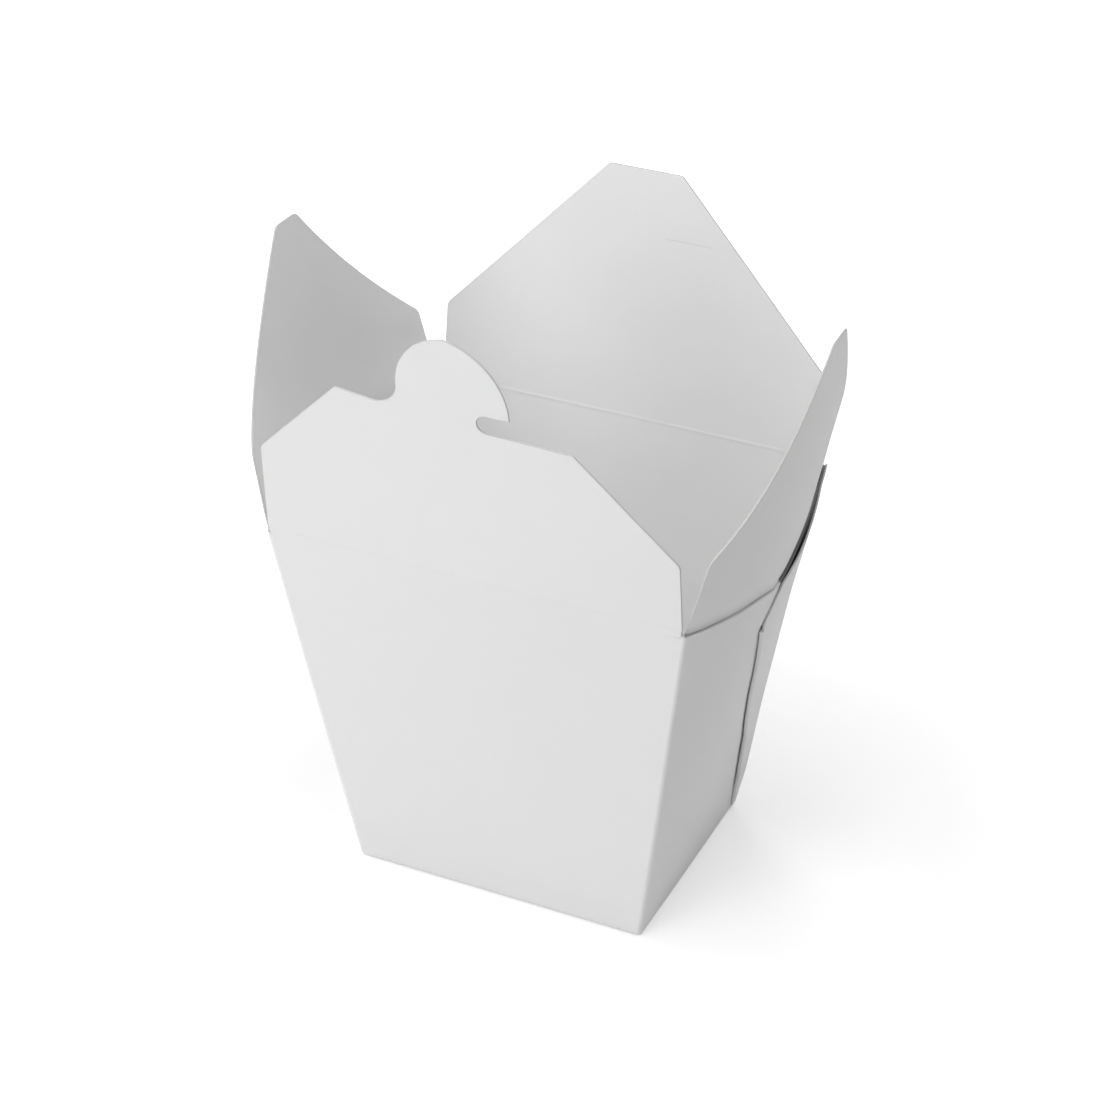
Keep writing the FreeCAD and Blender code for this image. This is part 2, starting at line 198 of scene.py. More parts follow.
@dataclass
class Board:
    """Coated board as closed meshes with slightly rounded cut edges, in millimetres."""

    skins: list[bpy.types.Material]
    edge_round: float = 0.1
    butt_round: float = 0.01
    arc_steps: int = 2

    def rim_directions(self, net: Net, rim: list[tuple[int, int]]) -> dict[int, Vector]:
        """The way out of the board at each point of its rim.

        Args:
            net: The net of the board.
            rim: Its directed rim edges.

        Returns:
            A unit vector for each rim point.
        """
        ways: dict[int, Vector] = {}
        for a, b in rim:
            along = (net.outer[b] - net.outer[a]).normalized()
            for point in (a, b):
                through = (net.outer[point] - net.inner[point]).normalized()
                ways[point] = ways.get(point, Vector()) + along.cross(through)
        return {point: way.normalized() for point, way in ways.items()}

    def rim_profile(self, net: Net, point: int, way: Vector) -> list[Vector]:
        """The points down the cut edge at one rim point.

        Args:
            net: The net of the board.
            point: The rim point's index.
            way: The way out of the board there.

        Returns:
            The points from the outside to the inside.
        """
        outer, inner = net.outer[point], net.inner[point]
        through = (inner - outer).normalized()
        radius = self.butt_round if point in net.square_rim else self.edge_round
        near, far = [], []
        for step in range(self.arc_steps + 1):
            angle = math.pi / 2 * step / self.arc_steps
            back, down = radius * (1 - math.sin(angle)), radius * (1 - math.cos(angle))
            near.append(outer - way * back + through * down)
            far.append(inner - way * back - through * down)
        return near + far[::-1]

    def build(self, name: str, net: Net) -> bpy.types.Object:
        """Makes the closed board over a net.

        Args:
            name: The piece's name.
            net: The net, its cells facing out.

        Returns:
            The new object, linked to the scene.
        """
        net.weld()
        rim = net.rim_edges()
        ways = self.rim_directions(net, rim)
        used = sorted({p for face in net.faces for p in face})
        places: list[Vector] = []
        rubs_and_highlights: list[float] = []
        painted_shades: list[float] = []
        top, bottom, steps = {}, {}, {}
        for point in used:
            profile = self.rim_profile(net, point, ways[point]) if point in ways else None
            top[point] = len(places)
            places.append(profile[0] if profile else net.outer[point])
            bottom[point] = len(places)
            places.append(profile[-1] if profile else net.inner[point])
            # Each point's painted highlight, and the painted shade of its outside and of its
            # inside.
            rubs_and_highlights += [net.rub[point], net.rub[point]]
            painted_shades += net.tuck[point]
            if profile:
                middle = list(range(len(places), len(places) + len(profile) - 2))
                steps[point] = [top[point], *middle, bottom[point]]
                places += profile[1:-1]
                # The cut edge takes the outside's painted highlight and painted shade.
                rubs_and_highlights += [net.rub[point]] * (len(profile) - 2)
                painted_shades += [net.tuck[point][0]] * (len(profile) - 2)
        faces = [tuple(top[p] for p in face) for face in net.faces]
        skin = [Skin.OUTSIDE.value] * len(faces)
        faces += [tuple(bottom[p] for p in reversed(face)) for face in net.faces]
        skin += [Skin.INSIDE.value] * len(net.faces)
        sharp = []
        for a, b in rim:
            sharp += [(top[a], top[b]), (bottom[a], bottom[b])]
            for k in range(len(steps[a]) - 1):
                faces.append((steps[b][k], steps[a][k], steps[a][k + 1], steps[b][k + 1]))
                skin.append(Skin.CUT.value)
        # Point attributes for the materials: rubbed coating with painted highlight, and painted
        # shade.
        tones = {"rub": rubs_and_highlights, "tuck": painted_shades}
        return self.finish_mesh(name, places, faces, skin, tones, sharp)

    def finish_mesh(
        self,
        name: str,
        places: list[Vector],
        faces: list[tuple[int, ...]],
        skin: list[int],
        tones: dict[str, list[float]],
        sharp: list[tuple[int, int]],
    ) -> bpy.types.Object:
        """Turns the lists of a board into an object with smooth faces and crisp rims.

        Args:
            name: The piece's name.
            places: Its points, in millimetres.
            faces: Its faces, as indices of points.
            skin: The material index of each face.
            tones: Named values of the points, which the materials read.
            sharp: The edges that shade as crisp.

        Returns:
            The new object, linked to the scene.
        """
        mesh = bpy.data.meshes.new(name)
        mesh.from_pydata([place * MM for place in places], [], faces)
        mesh.polygons.foreach_set("material_index", skin)
        mesh.polygons.foreach_set("use_smooth", [True] * len(faces))
        wanted = {tuple(sorted(edge)) for edge in sharp}
        marks = mesh.attributes.new("sharp_edge", "BOOLEAN", "EDGE")
        for edge in mesh.edges:
            marks.data[edge.index].value = tuple(sorted(edge.vertices)) in wanted
        for tone, values in tones.items():
            attribute = mesh.attributes.new(tone, "FLOAT", "POINT")
            attribute.data.foreach_set("value", values)
        for material in self.skins:
            mesh.materials.append(material)
        mesh.validate()
        piece = bpy.data.objects.new(name, mesh)
        bpy.context.scene.collection.objects.link(piece)
        LOG.info("%s: %d faces", name, len(mesh.polygons))
        return piece


class Piece:
    """One piece of the pail: each kind has its name, its net and what it rides on."""

    def name(self) -> str:
        """The piece's name."""
        raise NotImplementedError

    def net(self) -> Net:
        """The piece's net."""
        raise NotImplementedError

    def attach(self, piece: bpy.types.Object) -> bpy.types.Object:
        """Lets the built piece ride on its bodies."""
        raise NotImplementedError


@dataclass
class Outline:
    """An outline on flat board, drawn as straight runs and arcs."""

    spacing: float = 0.8
    least_steps: int = 5
    points: list[Vector] = field(default_factory=list)

    def line(self, end: Vector) -> None:
        """Draws a straight run.

        Args:
            end: Where it ends.
        """
        here = self.points[-1]
        count = max(1, round((end - here).length / self.spacing))
        self.points += [here.lerp(end, k / count) for k in range(1, count + 1)]

    def arc(self, middle: Vector, end: Vector) -> None:
        """Draws an arc.

        Args:
            middle: A point that it runs through.
            end: Where it ends.
        """
        here = self.points[-1]
        first, second = middle - here, end - here
        scale = 2 * first.cross(second)
        offset = Vector((
            second.y * first.length_squared - first.y * second.length_squared,
            first.x * second.length_squared - second.x * first.length_squared,
        ))
        centre = here + offset / scale
        radius = (here - centre).length
        begin = math.atan2(here.y - centre.y, here.x - centre.x)
        turn = math.atan2(end.y - centre.y, end.x - centre.x) - begin
        way = 1 if scale > 0 else -1
        while turn * way <= 0:
            turn += way * 2 * math.pi
        count = max(self.least_steps, round(radius * abs(turn) / self.spacing))
        for k in range(1, count):
            angle = begin + turn * k / count
            self.points.append(centre + radius * Vector((math.cos(angle), math.sin(angle))))
        self.points.append(end.copy())

    def bulge(self, end: Vector, height: float) -> None:
        """Draws an arc over a chord.

        Args:
            end: Where it ends.
            height: How far it stands to the left of its chord.
        """
        here = self.points[-1]
        along = (end - here).normalized()
        self.arc((here + end) / 2 + Vector((-along.y, along.x)) * height, end)

    def corner(self, sharp: Vector, onward: Vector, radius: float) -> None:
        """Draws a straight run and then a rounded corner.

        Args:
            sharp: Where the corner would be if it were sharp.
            onward: The point that the outline goes on to.
            radius: The corner's radius.
        """
        back = (self.points[-1] - sharp).normalized()
        ahead = (onward - sharp).normalized()
        half = back.angle(ahead) / 2
        centre = sharp + (back + ahead).normalized() * (radius / math.sin(half))
        self.line(sharp + back * (radius / math.tan(half)))
        middle = centre + (sharp - centre).normalized() * radius
        self.arc(middle, sharp + ahead * (radius / math.tan(half)))


def fill_outline(
    boundary: list[Vector], inside: list[Vector], hole: list[Vector]
) -> tuple[list[Vector], list[tuple[int, ...]], list[list[int]]]:
    """Fills an outline with triangles over chosen inner points.

    Args:
        boundary: The outline's points in order.
        inside: Points within it.
        hole: The outline of a convex hole, or an empty list.

    Returns:
        The points, the triangles, and for each point the indices of the given ones there.
    """
    given = [*boundary, *inside, *hole]
    base = len(boundary) + len(inside)
    edges = [(base + k, base + (k + 1) % len(hole)) for k in range(len(hole))]
    region = [list(range(len(boundary)))]
    filled = delaunay_2d_cdt(given, edges, region, FILL_INSIDE, MEET, True)
    points, _, triangles, origins, _, _ = filled
    kept = []
    for a, b, c in triangles:
        middle = (points[a] + points[b] + points[c]) / 3
        sides = (points[b] - points[a], points[c] - points[b], points[a] - points[c])
        area = sides[0].cross(-sides[2])
        is_sliver = abs(area) < SLIVER * max(side.length for side in sides)
        if is_sliver or not is_clear(middle, boundary, 0.0) or is_clear(middle, hole, 0.0):
            continue
        kept.append((a, b, c) if area > 0 else (a, c, b))
    return points, kept, origins


def inner_ring(outline: list[Vector], depth: float) -> list[Vector]:
    """Points just inside an outline, each at the depth from it and not much nearer.

    Args:
        outline: The outline's points, against the clock.
        depth: The distance inside it.

    Returns:
        The points, none of them close to another.
    """
    found: list[Vector] = []
    for before, here, after in zip(outline[-1:] + outline, outline, outline[1:] + outline[:1]):
        along = (after - before).normalized()
        point = here + Vector((-along.y, along.x)) * depth
        if found and (point - found[-1]).length < depth * RING_SPACING:
            continue
        if is_clear(point, outline, depth * RING_CLEAR):
            found.append(point)
    return found


def is_clear(point: Vector, outline: list[Vector], margin: float) -> bool:
    """Whether a point lies inside an outline.

    Args:
        point: The point.
        outline: The outline's points.
        margin: The least distance from those points.

    Returns:
        True if it lies inside and clear of them.
    """
    found = False
    for a, b in zip(outline, outline[1:] + outline[:1]):
        if (a - point).length < margin:
            return False
        if (a.y > point.y) != (b.y > point.y):
            if point.x < a.x + (point.y - a.y) / (b.y - a.y) * (b.x - a.x):
                found = not found
    return found


# ---------------------------------------------------------------- the pail's shape


@dataclass(frozen=True)
class Pail:
    """The sizes that all parts of the pail share, in millimetres.

    Levels are heights above the base. Places on a side wall run from 0 at the front to 1 at
    the back. The webs draw the back of the side walls in between the draw levels and places.
    """

    board: float = 0.45
    fold: float = 1.2
    bottom_width: float = 70.0
    bottom_depth: float = 55.0
    crease_width: float = 96.0
    crease_depth: float = 79.0
    crease_height: float = 90.0
    crease_half: float = 1.0
    side_bow: float = 8.782
    bow_forward: float = 6.0
    side_sag: float = 2.5
    front_drop: float = 0.8
    web_dip: float = 2.5
    dip_width: float = 0.1
    back_draw: float = 0.7
    draw_levels: tuple[float, float] = (0.0, 35.0)
    draw_places: tuple[float, float] = (0.35, 0.8)
    draw_end_levels: tuple[float, float] = (68.0, 86.0)
    draw_end_places: tuple[float, float] = (0.9, 1.0)
    front_bulge: float = 0.7
    back_bulge: float = 0.4
    bulge_fade: float = 22.0
    end_passes: int = 4

    def half_sizes(self, level: float) -> tuple[float, float, float, float]:
        """The plan of the pail at a level.

        Args:
            level: The height above the base.

        Returns:
            Half its width, half its depth, the sides' bow and its shift forward.
        """
        share = level / self.crease_height
        width = (self.bottom_width + (self.crease_width - self.bottom_width) * share) / 2
        depth = (self.bottom_depth + (self.crease_depth - self.bottom_depth) * share) / 2
        forward = 4 * self.bow_forward * depth / self.crease_depth
        return width, depth, self.side_bow * share, forward

    def side_point(self, level: float, along: float) -> tuple[Vector, Vector]:
        """A point of the right wall's outside.

        Args:
            level: The height above the base.
            along: The place on the wall's curve, 0 at the front and 1 at the back.

        Returns:
            The point and the level outward direction there, both with x and y only.
        """
        width, depth, bow, forward = self.half_sizes(level)
        first = 2 * depth - 2 * forward
        x = width + 4 * bow * along * (1 - along) - self.draw_in(level, along)
        y = -depth + first * along + 2 * forward * along * along
        out = Vector((first + 4 * forward * along, -4 * bow * (1 - 2 * along)))
        return Vector((x, y)), out.normalized()

    def draw_in(self, level: float, along: float) -> float:
        """How far the webs press a side wall in.

        Args:
            level: The height above the base.
            along: The place on the wall's curve.

        Returns:
            The distance.
        """
        drawn = self.back_draw * blend_step(*self.draw_levels, level)
        end = blend_step(*self.draw_end_places, along) * blend_step(*self.draw_end_levels, level)
        return drawn * blend_step(*self.draw_places, along) * (1 - end)

    def side_along(self, level: float, y: float) -> float:
        """The place on the right wall's curve where it has this y.

        Args:
            level: The height above the base.
            y: The place along the pail.

        Returns:
            The place on the curve, beyond 0 or 1 where y is past its ends.
        """
        _, depth, _, forward = self.half_sizes(level)
        first = 2 * depth - 2 * forward
        root = math.sqrt(first * first + 8 * forward * (depth + y))
        return (root - first) / (4 * forward)

    def crease_along(self, y: float) -> float:
        """The place on the curve at the height of the creases, kept between its ends."""
        return min(1.0, max(0.0, self.side_along(self.crease_height, y)))

    def side_end(self, level: float, face: Face) -> float:
        """Where the right wall's curve meets a rounded corner.

        Args:
            level: The height above the base.
            face: The face on the corner's other side.

        Returns:
            The place on the curve.
        """
        _, depth, _, _ = self.half_sizes(level)
        along = 0.0 if face is Face.FRONT else 1.0
        for _ in range(self.end_passes):
            _, out = self.side_point(level, along)
            along = self.side_along(level, face.value * (depth - self.fold) + self.fold * out.y)
        return along

    def side_span(self, level: float) -> tuple[float, float]:
        """Both ends of the right wall's curve between the rounded corners."""
        return self.side_end(level, Face.FRONT), self.side_end(level, Face.BACK)

    def corner_centre(self, level: float, face: Face) -> Vector:
        """The middle of the rounded corner between the right wall and a face."""
        point, out = self.side_point(level, self.side_end(level, face))
        return point - out * self.fold

    def crease_level(self, along: float) -> float:
        """The height of a side wall's curved crease.

        Args:
            along: The place on the wall's curve.

        Returns:
            The height above the base.
        """
        drop = self.front_drop * hump(along, self.dip_width)
        dip = self.web_dip * hump(along - 0.5, self.dip_width)
        return self.crease_height - 4 * self.side_sag * along * (1 - along) - drop - dip

    def face_lean(self) -> float:
        """The lean of the front and back walls, in radians."""
        return math.atan2((self.crease_depth - self.bottom_depth) / 2, self.crease_height)

    def slant(self, level: float) -> float:
        """The distance above a face's crease, along its board, at a level."""
        return (level - self.crease_height) / math.cos(self.face_lean())

    def bulge(self, face: Face, share: float, rise: float) -> float:
        """How far a face bellies out.

        Args:
            face: The face.
            share: The place across it, from -1 to 1.
            rise: The distance above its crease, along the board.

        Returns:
            The distance out of its plane.
        """
        most = self.front_bulge if face is Face.FRONT else self.back_bulge
        across = max(0.0, 1 - share * share)
        if rise < 0:
            return most * across * max(0.0, 1 + rise / self.crease_height) ** 2
        return most * across * math.exp(-((rise / self.bulge_fade) ** 2))

    def crease_axis(self, face: Face) -> tuple[Vector, Vector, Vector, Vector]:
        """The line that a face's flap turns on, in the middle of the board.

        Args:
            face: The face.

        Returns:
            The line's middle, and the ways across, up and out of the flap.
        """
        lean = self.face_lean()
        half = self.crease_depth / 2 - self.board / 2 / math.cos(lean)
        way = face.value
        origin = Vector((0, way * half, self.crease_height))
        up = Vector((0, way * math.sin(lean), math.cos(lean)))
        out = Vector((0, way * math.cos(lean), -math.sin(lean)))
        return origin, Vector((-way, 0, 0)), up, out

    def foot_level(self, face: Face) -> float:
        """The height where a face's wall ends and the strip of its crease begins."""
        origin, _, up, out = self.crease_axis(face)
        return (origin - up * self.crease_half + out * self.board / 2).z


class Span(Enum):
    """The kinds of place round the pail's walls."""

    FACE = "face"
    CORNER = "corner"
    SIDE = "side"


@dataclass(frozen=True)
class Station:
    """One place round the walls: its span, its sides and how far along the span it is."""

    span: Span
    side: Side
    face: Face
    share: float


@dataclass(frozen=True)
class Pocket:
    """The pocket between a side flap and the folded web, by places along the pail.

    The web begins between start and full, and the painted shade on what it hides fades over
    the end by the dim. The lead, low and sink are distances over which the flap's foot stands
    in, and the edge is the rise over which its painted shade ends.
    """

    start: float = -5.6
    full: float = -4.7
    end: tuple[float, float] = (9.0, 30.0)
    lead: float = 4.0
    recess: float = 0.75
    fade: float = 9.0
    low: float = 0.9
    sink: float = 2.5
    edge: tuple[float, float] = (0.5, 1.3)
    dim: float = 0.8

    def tone(self, y: float) -> float:
        """How much painted shade the crease takes at a place."""
        return blend_step(self.start, self.full, y)

    def depth(self, y: float, rise: float) -> float:
        """How far the flap's foot stands in.

        Args:
            y: The place along the pail.
            rise: The distance above the crease.

        Returns:
            The distance.
        """
        fade = math.exp(-max(0.0, y - self.start) / self.fade)
        pocket = self.recess * blend_step(self.start - self.lead, self.full, y) * fade
        return pocket * blend_step(0.0, self.low, rise) * math.exp(-rise / self.sink)

    def shade(self, y: float, rise: float) -> float:
        """How much painted shade the flap's foot takes, at a place and a distance above the
        crease.
        """
        fade = 1 - self.dim * blend_step(*self.end, y)
        return fade * (1 - blend_step(*self.edge, rise))


@dataclass
class SideFlap:
    """A tall side flap on the curved crease of a side wall, in millimetres and degrees.

    Its foot stands in behind the wall by the recess, which is far less towards the back end,
    and has a groove. The foot and the groove take painted shade, less on the left flap. The
    left flap bows less in its middle than the right one.
    """

    pail: Pail
    pocket: Pocket = Pocket()
    rows: tuple[float, ...] = (0.1, 0.28, 0.5, 0.8, 1.3, 2.0, 2.9, 4.1)
    height: float = 52.3
    lean: float = 11.3
    bow: float = 8.5
    top_bow: float = 5.5
    drawn_height: float = 25.0
    left_press: float = 1.4
    press_start: tuple[float, float] = (-1.0, 6.0)
    press_end: tuple[float, float] = (6.0, 62.0)
    recess: float = 0.5
    recess_far: float = 0.2
    recess_fade: float = 1.2
    flush_places: tuple[float, float] = (0.86, 0.97)
    flush_share: float = 0.95
    groove: float = 0.25
    groove_middle: float = 0.16
    groove_width: float = 0.3
    # Painted shade in the groove and softly above the crease, how it fades towards the back, and
    # the share of it on the left flap.
    groove_tone: float = 0.42
    soft_tone: float = 0.4
    soft_width: float = 1.6
    tone_fade: float = 150.0
    left_tone: float = 0.25
    shoulder_inset: float = 2.0
    shoulder_height: float = 16.3
    shoulder_radius: float = 3.0
    tip_width: float = 7.9
    tip_radius: float = 2.2
    edge_hollow: float = 1.1
    hollow_place: float = 0.1
    hollow_share: float = 0.36
    grid: float = 2.4
    grid_gap: float = 1.2
    grid_margin: float = 1.7
    ring_depth: float = 0.8
    ring_gap: float = 0.4
    probe: float = 0.1

    def surface(self, y: float, level: float) -> Vector:
        """A point of the right flap's surface without its crease.

        Args:
            y: The place along the pail.
            level: The height above the base.

        Returns:
            The point.
        """
        pail, height = self.pail, level - self.pail.crease_height
        along = pail.side_along(pail.crease_height, y)
        foot = pail.crease_width / 2 + height * math.tan(math.radians(self.lean))
        bow = self.bow + (self.top_bow - self.bow) * height / self.height
        drawn = pail.draw_in(pail.crease_height, along)
        drawn *= 1 - blend_step(0, self.drawn_height, height)
        return Vector((foot + 4 * bow * along * (1 - along) - drawn, y, level))

    def dent(self, rise: float) -> float:
        """The shape of the groove, 1 at its deepest."""
        return hump(rise - self.groove_middle, self.groove_width)

    def pair(self, y: float, level: float, crease: float) -> tuple[Vector, Vector]:
        """The outer and inner point of the right flap.

        Args:
            y: The place along the pail.
            level: The height above the base.
            crease: The height of the crease at this y.

        Returns:
            The two points.
        """
        step = self.probe
        along = self.surface(y + step, level) - self.surface(y - step, level)
        upward = self.surface(y, level + step) - self.surface(y, level - step)
        normal = along.cross(upward).normalized()
        rise = max(0.0, level - crease)
        extra = self.recess - self.recess_far
        inset = self.recess_far + extra * math.exp(-rise / self.recess_fade)
        inset += self.pocket.depth(y, rise)
        inset *= 1 - self.flush_share * blend_step(*self.flush_places, self.pail.crease_along(y))
        inset += self.groove * self.dent(rise)
        outer = self.surface(y, level) - normal * inset
        return outer, outer - normal * self.pail.board

    def press(self, along: float, rise: float) -> float:
        """How far the left flap's middle is pressed in.

        Args:
            along: The place on the wall's curve.
            rise: The distance above the crease.

        Returns:
            The distance.
        """
        press = self.left_press * blend_step(*self.press_start, rise)
        press *= 1 - blend_step(*self.press_end, rise)
        return press * (4 * along * (1 - along))

    def shade(self, side: Side, y: float, rise: float) -> float:
        """How much painted shade the foot of a flap takes.

        Args:
            side: The flap's side.
            y: The place along the pail.
            rise: The distance above the crease.

        Returns:
            The painted shade, from 0 to 1.
        """
        shade = self.soft_tone * hump(rise, self.soft_width)
        shade = max(shade, self.groove_tone * self.dent(rise))
        shade *= math.exp(-(self.pail.crease_depth / 2 + y) / self.tone_fade)
        if side is Side.LEFT:
            shade *= self.left_tone
        if self.pocket.tone(y) > 0.5:
            shade = max(shade, self.pocket.shade(y, rise))
        return shade

    def outline(self, crease: list[Vector]) -> list[Vector]:
        """The right flap's outline over y and z, from its crease round and back.

        Args:
            crease: The points of the crease from front to back.

        Returns:
            All points of the outline, against the clock.
        """
        shoulder = self.pail.crease_depth / 2 - self.shoulder_inset
        level = self.pail.crease_height + self.shoulder_height
        top = self.pail.crease_height + self.height
        back_shoulder, back_tip = Vector((shoulder, level)), Vector((self.tip_width / 2, top))
        front_tip, front_shoulder = Vector((-self.tip_width / 2, top)), Vector((-shoulder, level))
        outline = Outline(points=[crease[-1]])
        for rise in self.rows:
            outline.line(crease[-1] + Vector((0, rise)))
        onward = self.hollow_start(back_shoulder, back_tip)
        outline.corner(back_shoulder, onward, self.shoulder_radius)
        near = self.hollow_start(back_tip, back_shoulder)
        along = (near - back_tip).normalized()
        outline.bulge(back_tip + along * self.tip_radius, self.edge_hollow)
        outline.corner(back_tip, front_tip, self.tip_radius)
        outline.corner(front_tip, self.hollow_start(front_tip, front_shoulder), self.tip_radius)
        end = front_shoulder + (front_tip - front_shoulder).normalized() * self.shoulder_radius
        outline.bulge(end, self.edge_hollow)
        outline.corner(front_shoulder, crease[0], self.shoulder_radius)
        for rise in reversed(self.rows):
            outline.line(crease[0] + Vector((0, rise)))
        return crease[:-1] + outline.points

    def hollow_start(self, here: Vector, there: Vector) -> Vector:
        """Where the hollow edge between two corners goes first.

        Args:
            here: The corner it leaves.
            there: The corner it runs to.

        Returns:
            A point on the edge, just along from its start.
        """
        chord = there - here
        inward = Vector((0, self.pail.crease_height)) - here
        side = Vector((-chord.y, chord.x)).normalized()
        if side.dot(inward) < 0:
            side = -side
        return here + chord * self.hollow_place + side * self.edge_hollow * self.hollow_share

    def inner_points(self, crease: list[Vector], boundary: list[Vector]) -> list[Vector]:
        """The points that the flap's mesh has inside its outline.

        Args:
            crease: The points of the crease from front to back.
            boundary: The outline.

        Returns:
            Close rows over the crease, a ring inside the edge and an even grid.
        """
        pail, reach = self.pail, self.rows[-1]
        inside = []
        for rise in self.rows:
            inside += [p + Vector((0, rise)) for p in crease[1:-1]]
        limit = pail.crease_height + reach + self.ring_gap
        inside += [p for p in inner_ring(boundary, self.ring_depth) if p.y > limit]
        top, half = pail.crease_height + self.height, pail.crease_depth / 2
        for y in spread(-half, half, round(pail.crease_depth / self.grid)):
            low = pail.crease_level(pail.crease_along(y)) + reach + self.grid_gap
            spots = [Vector((y, z)) for z in spread(low, top, round((top - low) / self.grid))]
            inside += [spot for spot in spots if is_clear(spot, boundary, self.grid_margin)]
        return inside

    def add(self, net: Net, side: Side, crease_row: list[int]) -> None:
        """Adds the flap to the net of the walls.

        Args:
            net: The net.
            side: The side of the pail.
            crease_row: The top points of that side's wall.
        """
        found = sorted((net.outer[index].y, net.outer[index].z, index) for index in crease_row)
        crease = [Vector((y, z)) for y, z, _ in found]
        boundary = self.outline(crease)
        inside = self.inner_points(crease, boundary)
        points, cells, origins = fill_outline(boundary, inside, [])
        indices = []
        for (y, level), origin in zip(points, origins):
            shared = [found[k][2] for k in origin if k < len(found)]
            if shared:
                indices.append(shared[0])
                continue
            along = self.pail.crease_along(y)
            crease_level = self.pail.crease_level(along)
            rise = level - crease_level
            press = self.press(along, rise) if side is Side.LEFT else 0.0
            pair = self.pair(y, level, crease_level)
            outer, inner = [Vector((side.value * (p.x - press), p.y, p.z)) for p in pair]
            # The flap's points carry the painted shade of its foot.
            indices.append(net.add(outer, inner, 0.0, (self.shade(side, y, rise), 0.0)))
        for a, b, c in cells:
            cell = (indices[a], indices[b], indices[c])
            net.faces.append(cell if side is Side.RIGHT else cell[::-1])


